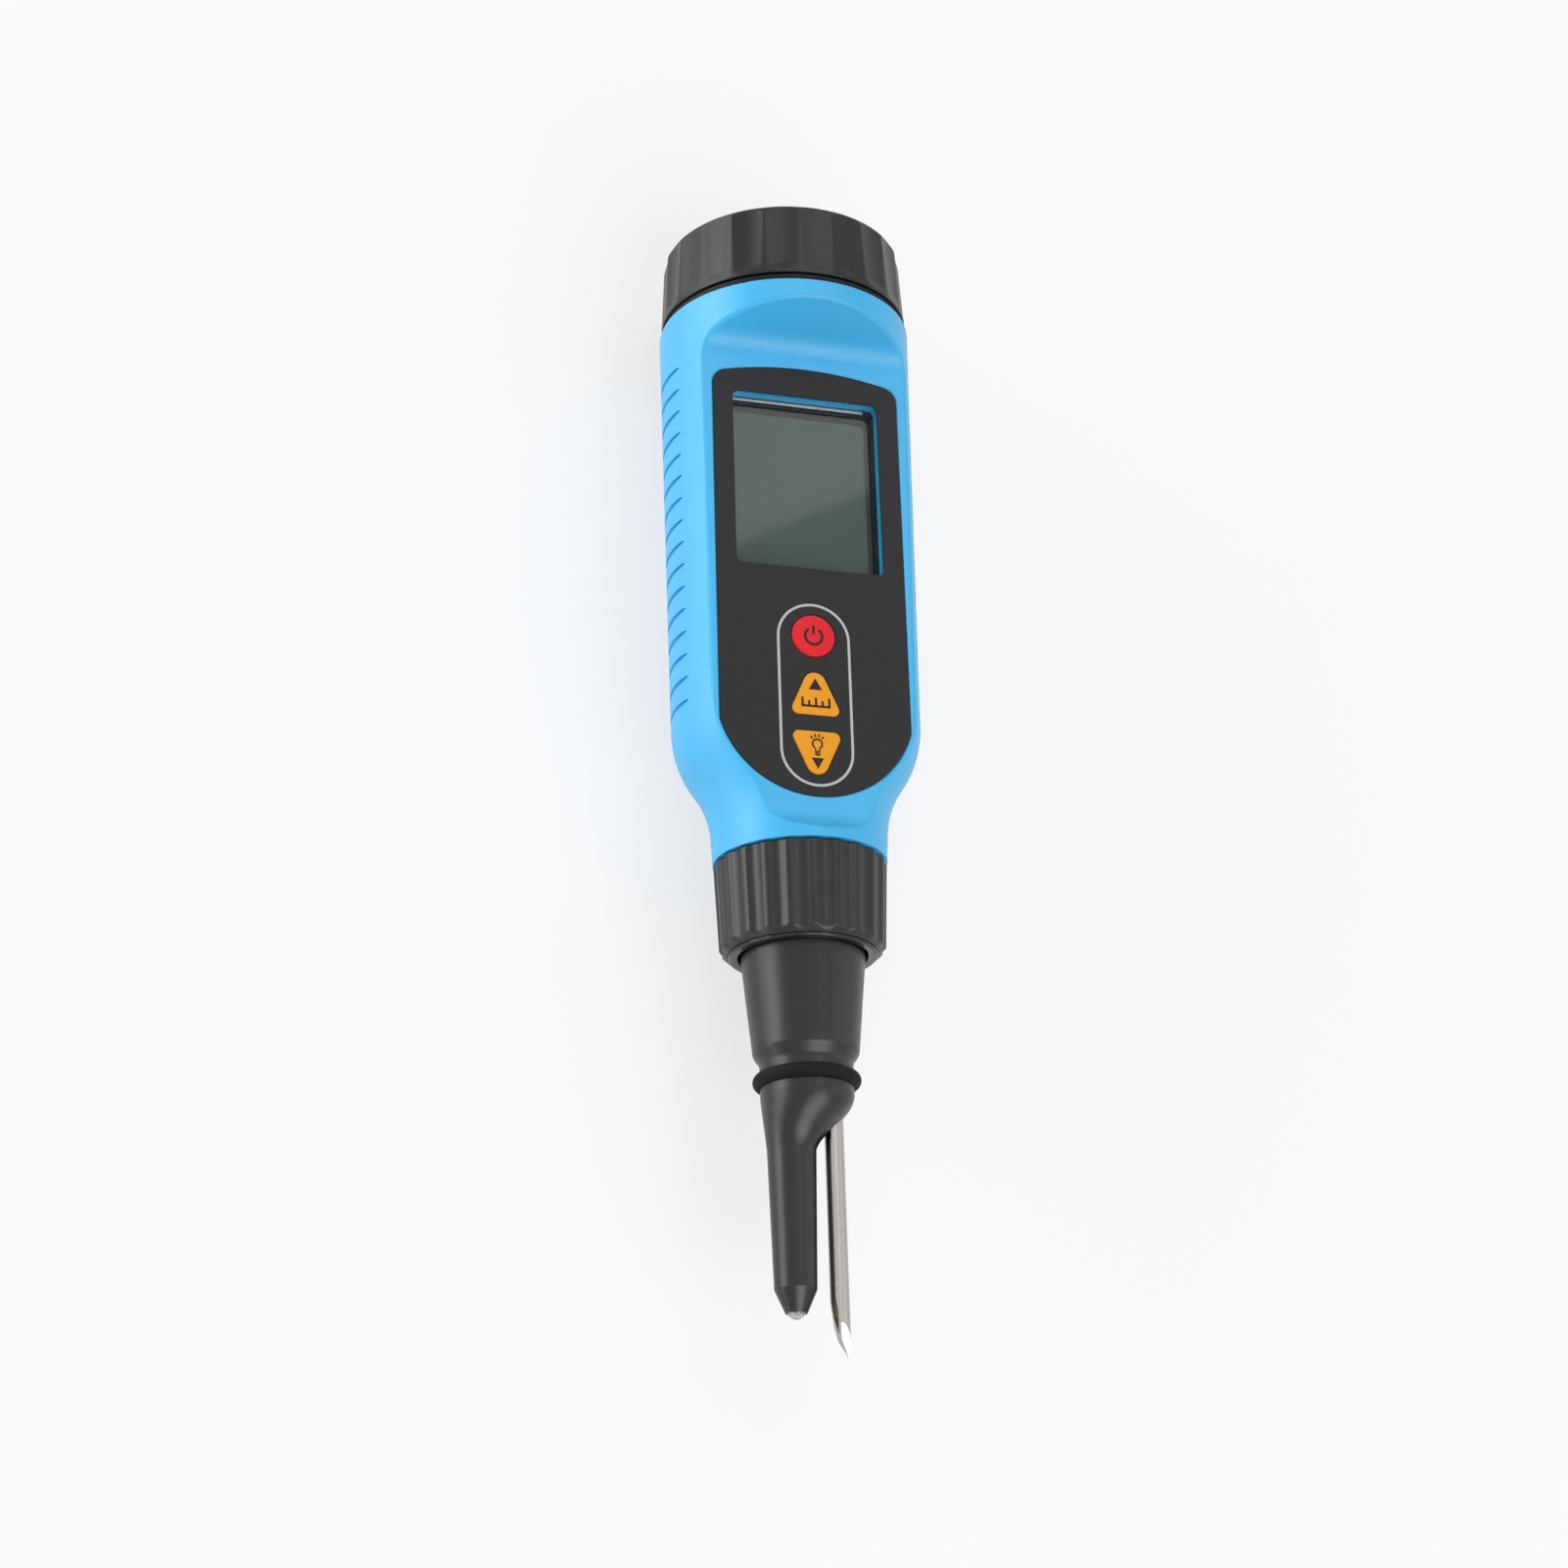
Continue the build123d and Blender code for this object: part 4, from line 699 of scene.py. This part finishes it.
@dataclass(frozen=True)
class Thread:
    """Round-topped screw thread that stands on a neck and runs out at both ends.

    The neck's thread is short enough to miss the two notches in the neck's end.
    """

    name: str
    radius: float
    low_y: float
    high_y: float
    finish: Finishes
    slot: str
    lead: float = 3.0
    height: float = 0.42
    width: float = 1.2
    flank_share: float = 0.8
    least_share: float = 0.02
    root_depth: float = 0.1
    steps_a_turn: int = 96
    run_out_turns: float = 0.2

    def build(self, pen: Pen) -> None:
        """Build the thread on the handle."""
        turns = (self.high_y - self.low_y - self.width) / self.lead
        steps = round(turns * self.steps_a_turn)
        rings = []
        for step in range(steps + 1):
            turned = step / self.steps_a_turn
            from_end = min(turned, turns - turned) / self.run_out_turns
            height = self.height * min(1.0, max(self.least_share, from_end))
            middle = self.low_y + self.width / 2 + turned * self.lead
            angle = 2 * math.pi * turned
            root = self.radius - self.root_depth
            flank = self.radius + height * self.flank_share
            rings.append([
                pen.around(root, middle - self.width / 2, angle),
                pen.around(flank, middle - self.width / 4, angle),
                pen.around(self.radius + height, middle, angle),
                pen.around(flank, middle + self.width / 4, angle),
                pen.around(root, middle + self.width / 2, angle),
            ])
        Skin().loft(rings).piece(self.name, self.finish, "handle", self.slot)


@dataclass(frozen=True)
class Keypad:
    """Three keys with plain signs, and the pale line round them."""

    pen: Pen
    power_y: float = 33.4
    power_radius: float = 3.45
    up_base_y: float = 20.4
    down_base_y: float = 17.8
    height: float = 7.0
    half_width: float = 3.75
    corner_radius: float = 1.0
    tip_radius: float = 1.8
    stem_radius: float = 1.4
    stem_share: float = 0.42
    edge_radius: float = 0.3
    edge_steps: int = 6
    crown: float = 0.06
    crown_shares: tuple[float, ...] = (0.8, 0.6, 0.4, 0.2)
    cap_thickness: float = 0.9
    print_height: float = 0.015
    print_depth: float = 0.02
    arrow_round: float = 0.06
    line_width: float = 0.4
    line_half_width: float = 5.79
    line_low_y: float = 8.81
    line_high_y: float = 38.73

    def triangle(self, base_y: float, way: float) -> Hull:
        """Outline of an arrow key, anticlockwise, pointing to +y for way 1 and to -y for way -1."""
        corner_x = way * (self.half_width - self.corner_radius)
        corner_y = base_y + way * self.corner_radius
        tip_y = base_y + way * (self.height - self.tip_radius)
        return Hull((
            (-corner_x, corner_y, self.corner_radius),
            (corner_x, corner_y, self.corner_radius),
            (0.0, tip_y, self.tip_radius),
        ))

    def build_key(self, node: str, shape: Hull, middle_y: float, finish: Finishes, slot: str) -> None:
        """Build one key: stem, cap, rounded edge and a slight crown.

        Args:
            node: the key's CAD node and its body.
            shape: outline of its cap.
            middle_y: station of the stem.
            finish: its material.
            slot: the record's material slot.
        """
        low = (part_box(node)[0].z - self.pen.axis_z) / MM
        high = self.pen.face_z(node)
        outline = shape.outline()
        stem = []
        for x, y in outline:
            arm = Vector((x, y - middle_y)).normalized() * self.stem_radius
            stem.append((arm.x, arm.y + middle_y))
        rings = [[self.pen.point(x, y, z) for x, y in stem] for z in (low, high - self.cap_thickness)]
        layers = [(0.0, high - self.cap_thickness)]
        rim = high - self.crown
        for turn in range(self.edge_steps + 1):
            angle = math.pi / (2 * self.edge_steps) * turn
            layers.append((
                -self.edge_radius * (1 - math.cos(angle)), rim - self.edge_radius * (1 - math.sin(angle)),
            ))
        rings.extend(flat_rings(self.pen, shape, layers))
        edge = shape.outline(-self.edge_radius)
        for share in self.crown_shares:
            rise = self.crown * (1 - share * share)
            rings.append([
                self.pen.point(x * share, middle_y + (y - middle_y) * share, rim + rise) for x, y in edge
            ])
        Skin().loft(rings).piece(node + "_cap", finish, node, slot, [node])

    def levels(self, node: str) -> Point2:
        """Lower and upper side of a print on a node, above the axis."""
        top = self.pen.face_z(node)
        return top - self.crown - self.print_depth, top + self.print_height

    def arrow_skin(self, half_width: float, base_y: float, tip_y: float, levels: Point2) -> Skin:
        """Skin with a printed arrow head that points from its base to its tip."""
        side = half_width if tip_y < base_y else -half_width
        shape = Hull((
            (side, base_y, self.arrow_round), (-side, base_y, self.arrow_round),
            (0.0, tip_y, self.arrow_round),
        ))
        low, high = levels
        return Skin().loft(flat_rings(self.pen, shape, ((0, low), (0, high)), 3))

    def build_power_sign(self) -> None:
        """Broken ring with a bar in its gap, the common sign for power."""
        ring_radius, gap_end_deg, gap_start_deg = 1.35, 125, 415
        bar_low, bar_high = 0.35, 1.75
        line = 0.42
        sign_below_middle = 0.1
        low, high = self.levels("power_key")
        centre = (0.0, self.power_y - sign_below_middle)
        ring = arc(centre, ring_radius, gap_end_deg, gap_start_deg, 40)
        bar = [(0.0, centre[1] + bar_low), (0.0, centre[1] + bar_high)]
        skin = Skin()
        for path in (ring, bar):
            skin.loft(stroke_rings(self.pen, path, line, low, high))
        skin.piece("power_sign", Finishes.DARK_PRINT, "power_key", "black_overlay")

    def build_up_signs(self) -> None:
        """Arrow and a short row of scale marks."""
        scale_half, scale_y = 2.3, 21.75
        first_x, pitch, mark_y = -2.1, 1.05, 21.8
        long_mark, short_mark = 1.35, 0.85
        line = 0.34
        low, high = self.levels("up_key")
        skin = self.arrow_skin(0.96, 24.5, 26.2, (low, high))
        scale = [(-scale_half, scale_y), (scale_half, scale_y)]
        skin.loft(stroke_rings(self.pen, scale, line, low, high))
        for index in range(5):
            x = first_x + pitch * index
            length = long_mark if index % 2 == 0 else short_mark
            skin.loft(stroke_rings(self.pen, [(x, mark_y), (x, mark_y + length)], line, low, high))
        skin.piece("up_sign", Finishes.DARK_PRINT, "up_key", "black_overlay")

    def build_down_signs(self) -> None:
        """Lamp with its rays, and an arrow."""
        bulb, bulb_radius, open_deg, close_deg = (0.0, 15.62), 0.76, -62, 242
        neck_x, neck_high_y, neck_low_y = 0.33, 14.95, 14.5
        foot_half, foot_ys = 0.42, (14.42, 14.12, 13.84)
        ray_reaches, ray_degrees = (1.12, 1.6), (50, 77, 103, 130)
        bulb_line, neck_line, foot_line, ray_line = 0.27, 0.2, 0.22, 0.26
        low, high = self.levels("down_key")
        skin = self.arrow_skin(0.86, 13.3, 11.75, (low, high))
        circle = arc(bulb, bulb_radius, open_deg, close_deg, 32)
        skin.loft(stroke_rings(self.pen, circle, bulb_line, low, high))
        for side in (-1, 1):
            neck = [(side * neck_x, neck_high_y), (side * neck_x, neck_low_y)]
            skin.loft(stroke_rings(self.pen, neck, neck_line, low, high))
        for y in foot_ys:
            skin.loft(stroke_rings(self.pen, [(-foot_half, y), (foot_half, y)], foot_line, low, high))
        for degrees in ray_degrees:
            angle = math.radians(degrees)
            ray = [
                (bulb[0] + reach * math.cos(angle), bulb[1] + reach * math.sin(angle))
                for reach in ray_reaches
            ]
            skin.loft(stroke_rings(self.pen, ray, ray_line, low, high))
        skin.piece("down_sign", Finishes.DARK_PRINT, "down_key", "black_overlay")

    def build_line(self) -> None:
        """Pale line round the three keys."""
        top = self.pen.face_z("face_overlay")
        bend = self.line_half_width
        shape = Hull(((0.0, self.line_low_y + bend, bend), (0.0, self.line_high_y - bend, bend)))
        low, high = top - SUNK_MM, top + self.print_height
        layers = ((0.0, low), (0.0, high), (-self.line_width, high), (-self.line_width, low))
        Skin().loft(flat_rings(self.pen, shape, layers, 24), closed=True).piece(
            "keypad_line", Finishes.PALE_PRINT, "handle", "light_guide"
        )

    def build(self) -> None:
        """Build the keys, their signs and the line."""
        power = Hull(((0.0, self.power_y, self.power_radius),))
        self.build_key("power_key", power, self.power_y, Finishes.RED_KEY, "red_key")
        for node, base_y, way in (("up_key", self.up_base_y, 1), ("down_key", self.down_base_y, -1)):
            middle_y = base_y + way * self.stem_share * self.height
            self.build_key(
                node, self.triangle(base_y, way), middle_y, Finishes.ORANGE_KEY, "orange_key"
            )
        self.build_power_sign()
        self.build_up_signs()
        self.build_down_signs()
        self.build_line()


@dataclass(frozen=True)
class Display:
    """What shows in the window: the pane of the glass, which stops short at the top and the right so that a
    band of dark glass shows there, partly the display's dark border and partly painted shade under the
    window's walls; and the lip of the bezel, coloured bright as a painted highlight on the bezel's top
    edge.
    """

    pen: Pen
    left: float = -12.0
    # The pane stops short of the glass at the right and the top: the dark glass left showing there is
    # partly the display's dark border and partly painted shade under the window's walls.
    right: float = 10.2
    low_y: float = 44.0
    high_y: float = 71.8
    corner_radius: float = 1.0
    pane_height: float = 0.02
    lip_left: float = -11.6
    lip_right: float = 9.9
    lip_y: float = 73.95
    lip_width: float = 0.5
    lip_height: float = 0.22
    lip_edge_share: float = 0.6
    lip_round_share: float = 0.3

    def build(self) -> None:
        """Build the pane and the lip."""
        glass_top = self.pen.face_z("lcd_glass")
        inset = self.corner_radius
        corners = (
            (self.left + inset, self.low_y + inset), (self.right - inset, self.low_y + inset),
            (self.right - inset, self.high_y - inset), (self.left + inset, self.high_y - inset),
        )
        pane = Hull(tuple((x, y, inset) for x, y in corners))
        layers = ((0.0, glass_top - SUNK_MM), (0.0, glass_top + self.pane_height))
        Skin().loft(flat_rings(self.pen, pane, layers)).piece(
            "display_pane", Finishes.LCD_PANE, "handle", "lcd"
        )
        bezel_top = self.pen.face_z("lcd_bezel")
        half = self.lip_width / 2
        lip = Hull(((self.lip_left, self.lip_y, half), (self.lip_right, self.lip_y, half)))
        edge = half * self.lip_edge_share
        rounding = edge * self.lip_round_share
        high = bezel_top + self.lip_height
        layers = (
            (0.0, bezel_top - SUNK_MM), (0.0, high - edge), (-rounding, high - rounding), (-edge, high),
        )
        # The lip's bright colour is a painted highlight on the top edge of the dark bezel.
        Skin().loft(flat_rings(self.pen, lip, layers)).piece(
            "bezel_lip", Finishes.PAINTED_HIGHLIGHT_LIP, "handle", "bezel_metal"
        )


@dataclass
class CameraRig:
    """Camera at the photograph's viewing angle, in pen coordinates and millimetres."""

    pen: Pen
    aim_station: float = 4.235
    tilt_deg: float = -21.522
    turn_deg: float = 17.151
    roll_deg: float = 1.735
    distance: float = 474.41
    across: float = 2.296
    along: float = -8.416
    focal_px: float = 3200.0
    frame_px: float = 1601.0
    sensor_mm: float = 36.0

    def build(self) -> bpy.types.Object:
        """Place the camera and make it the scene's own."""
        data = bpy.data.cameras.new("photo_camera")
        data.sensor_width = self.sensor_mm
        data.lens = self.sensor_mm * self.focal_px / self.frame_px
        data.clip_start = 0.01
        turn = (
            Matrix.Rotation(math.radians(self.roll_deg), 3, "Z")
            @ Matrix.Rotation(math.radians(self.tilt_deg), 3, "X")
            @ Matrix.Rotation(math.radians(self.turn_deg), 3, "Y")
        ).transposed()
        place = turn @ Vector((-self.across, -self.along, self.distance))
        camera = bpy.data.objects.new("photo_camera", data)
        camera.location = self.pen.point(place.x, place.y + self.aim_station, place.z)
        camera.rotation_euler = turn.to_euler()
        bpy.context.scene.collection.objects.link(camera)
        bpy.context.scene.camera = camera
        return camera


@dataclass(frozen=True)
class Softbox:
    """Area lamp that looks at the pen.

    Where it has a turn of its own it looks straight down, or straight up with a tip of half a turn.
    """

    name: str
    place: tuple[float, float, float]
    size: tuple[float, float]
    watts: float
    turn_deg: float | None = None
    tip_deg: float = 0.0

    def build(self, aim: Vector) -> bpy.types.Object:
        """Place the lamp, in metres."""
        data = bpy.data.lights.new(self.name, "AREA")
        data.shape = "RECTANGLE"
        data.size, data.size_y = self.size
        data.energy = self.watts
        lamp = bpy.data.objects.new(self.name, data)
        lamp.location = self.place
        if self.turn_deg is None:
            lamp.rotation_euler = (aim - Vector(self.place)).to_track_quat("-Z", "Y").to_euler()
        else:
            lamp.rotation_euler = (math.radians(self.tip_deg), 0.0, math.radians(self.turn_deg))
        lamp.visible_camera = False
        bpy.context.scene.collection.objects.link(lamp)
        return lamp


@dataclass
class Studio:
    """Pale floor, plain surroundings and soft lamps.

    The overhead panel ends where its mirror image ends across the display in the photograph.
    """

    floor_size: float = 6.0
    floor_white: float = 0.9
    floor_roughness: float = 0.9
    floor_specular: float = 0.1
    world_strength: float = 0.36
    reflected_white: float = 0.75
    floor_shadow: float = 0.3
    lamp_aim: tuple[float, float, float] = (0.0, 0.0, 0.02)
    lamps: list[Softbox] = field(default_factory=lambda: [
        Softbox("left_softbox", (-0.85, 0.36, 0.19), (1.0, 0.38), 4.3),
        Softbox("left_card", (-0.30, 0.05, 0.002), (0.46, 0.6), 1.3, 0.0, 180.0),
        Softbox("right_softbox", (0.95, 0.0, 0.55), (0.4, 0.9), 0.6),
        Softbox("low_panel", (0.3, -0.75, 1.0), (1.0, 0.8), 8.0),
        Softbox("small_panel", (0.31, 0.32, 1.0), (0.16, 0.12), 0.4, 0.0),
        Softbox("overhead_panel", (0.130, 0.910, 1.02), (1.2, 0.8), 3.9, 27.6),
    ])

    def build(self) -> None:
        """Build the floor, the world and the lamps."""
        self.build_world()
        self.build_floor()
        for lamp in self.lamps:
            lamp.build(Vector(self.lamp_aim))

    def seen_white(self, tree: bpy.types.NodeTree) -> bpy.types.NodeSocket:
        """1 for rays from the camera or a clear part, less for reflections, 0 for light on the object."""
        path = tree.nodes.new("ShaderNodeLightPath")
        glossy = tree.nodes.new("ShaderNodeMath")
        glossy.operation = "MULTIPLY"
        glossy.inputs[1].default_value = self.reflected_white
        first = tree.nodes.new("ShaderNodeMath")
        first.operation = "MAXIMUM"
        second = tree.nodes.new("ShaderNodeMath")
        second.operation = "MAXIMUM"
        tree.links.new(path.outputs["Is Glossy Ray"], glossy.inputs[0])
        tree.links.new(path.outputs["Is Camera Ray"], first.inputs[0])
        tree.links.new(glossy.outputs[0], first.inputs[1])
        tree.links.new(first.outputs[0], second.inputs[0])
        tree.links.new(path.outputs["Is Transmission Ray"], second.inputs[1])
        return second.outputs[0]

    def build_world(self) -> None:
        """Plain surroundings: soft light on the object, and white where they are seen."""
        world = bpy.data.worlds.new("studio")
        bpy.context.scene.world = world
        world.use_nodes = True
        tree = world.node_tree
        background = tree.nodes["Background"]
        background.inputs["Color"].default_value = (1.0, 1.0, 1.0, 1.0)
        strength = tree.nodes.new("ShaderNodeMapRange")
        strength.inputs["To Min"].default_value = self.world_strength
        strength.inputs["To Max"].default_value = 1.0
        tree.links.new(self.seen_white(tree), strength.inputs["Value"])
        tree.links.new(strength.outputs["Result"], background.inputs["Strength"])

    def build_floor(self) -> None:
        """White floor that still takes the pen's shadow."""
        half = self.floor_size / 2
        mesh = bpy.data.meshes.new("studio_floor")
        mesh.from_pydata(
            [(-half, -half, 0), (half, -half, 0), (half, half, 0), (-half, half, 0)], [], [(0, 1, 2, 3)]
        )
        floor = bpy.data.objects.new("studio_floor", mesh)
        bpy.context.scene.collection.objects.link(floor)
        made = bpy.data.materials.new("white_floor")
        made.use_nodes = True
        tree = made.node_tree
        diffuse = tree.nodes["Principled BSDF"]
        diffuse.inputs["Base Color"].default_value = (*(3 * [self.floor_white]), 1.0)
        diffuse.inputs["Roughness"].default_value = self.floor_roughness
        diffuse.inputs["Specular IOR Level"].default_value = self.floor_specular
        glow = tree.nodes.new("ShaderNodeEmission")
        glow.inputs["Strength"].default_value = 1.0
        share = tree.nodes.new("ShaderNodeMath")
        share.operation = "MULTIPLY"
        share.inputs[1].default_value = 1 - self.floor_shadow
        tree.links.new(self.seen_white(tree), share.inputs[0])
        mix = tree.nodes.new("ShaderNodeMixShader")
        tree.links.new(share.outputs[0], mix.inputs[0])
        tree.links.new(diffuse.outputs[0], mix.inputs[1])
        tree.links.new(glow.outputs[0], mix.inputs[2])
        tree.links.new(mix.outputs[0], tree.nodes["Material Output"].inputs["Surface"])
        mesh.materials.append(made)


NODE_FINISHES: dict[str, Finishes] = {
    "body_shell": Finishes.SHELL,
    "face_overlay": Finishes.OVERLAY,
    "display_window": Finishes.WINDOW,
    "lcd_bezel": Finishes.BEZEL,
    "lcd_glass": Finishes.LCD,
    "light_guide": Finishes.GUIDE,
    "main_board": Finishes.BOARD,
    "board_chips": Finishes.CHIP,
    "board_screws": Finishes.SCREW,
    "switch_housings": Finishes.CHIP,
    "chassis": Finishes.INNER,
    "battery_cells": Finishes.CELL,
    "cell_spring": Finishes.CONTACT,
    "cell_contact": Finishes.CONTACT,
    "battery_neck": Finishes.NECK,
    "cap_seal": Finishes.RUBBER,
    "socket_block": Finishes.INNER,
    "socket_contacts": Finishes.GOLD,
    "connector_board": Finishes.BOARD,
    "ribbon_cable": Finishes.RIBBON,
    "contact_carrier": Finishes.INNER,
    "bridge_contact": Finishes.CONTACT,
    "carrier_screw": Finishes.SCREW,
    "battery_cap": Finishes.CAP,
    "power_key": Finishes.RED_KEY,
    "up_key": Finishes.ORANGE_KEY,
    "down_key": Finishes.ORANGE_KEY,
    "power_plunger": Finishes.CHIP,
    "up_plunger": Finishes.CHIP,
    "down_plunger": Finishes.CHIP,
    "probe_body": Finishes.PROBE,
    "piercing_blade": Finishes.BLADE,
    "storage_o_ring": Finishes.RUBBER,
    "plug_seal": Finishes.RUBBER,
    "plug_block": Finishes.INNER,
    "plug_pins": Finishes.GOLD,
    "electrode_bung": Finishes.RUBBER,
    "glass_electrode": Finishes.GLASS,
    "silver_wire": Finishes.SILVER,
    "reference_wire": Finishes.SILVER,
    "collar": Finishes.COLLAR,
    "collar_ring": Finishes.RING,
}


def dress_nodes() -> None:
    """Give every carried-over node its finish."""
    for name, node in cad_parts.items():
        node.data.materials.clear()
        node.data.materials.append(NODE_FINISHES[name].material())


def build_threads(pen: Pen) -> None:
    """Build the threads that the cap and the collar screw on."""
    above_seal, below_neck_end = 0.3, 0.84
    neck_low = pen.top_y("cap_seal") + above_seal
    neck_high = pen.top_y("battery_neck") - below_neck_end
    neck_radius, neck_width = 16.88, 1.1
    spigot_radius, spigot_low, spigot_high = 10.6, -8.2, -1.2
    Thread(
        "neck_thread", neck_radius, neck_low, neck_high, Finishes.NECK, "black_plastic",
        width=neck_width,
    ).build(pen)
    Thread(
        "spigot_thread", spigot_radius, spigot_low, spigot_high, Finishes.SHELL, "blue_shell"
    ).build(pen)


def main() -> None:
    """Build the studio and the looks, one sub-assembly at a time."""
    logging.basicConfig(level=logging.INFO, format="%(name)s: %(message)s")
    scene = bpy.context.scene
    scene.view_settings.view_transform = "Standard"
    pen = Pen.from_frame()
    CameraRig(pen).build()
    Studio().build()
    dress_nodes()
    for part in (BatteryCap(pen), Collar(pen), Keypad(pen), Display(pen)):
        part.build()
    build_threads(pen)


if __name__ == "__main__":
    main()
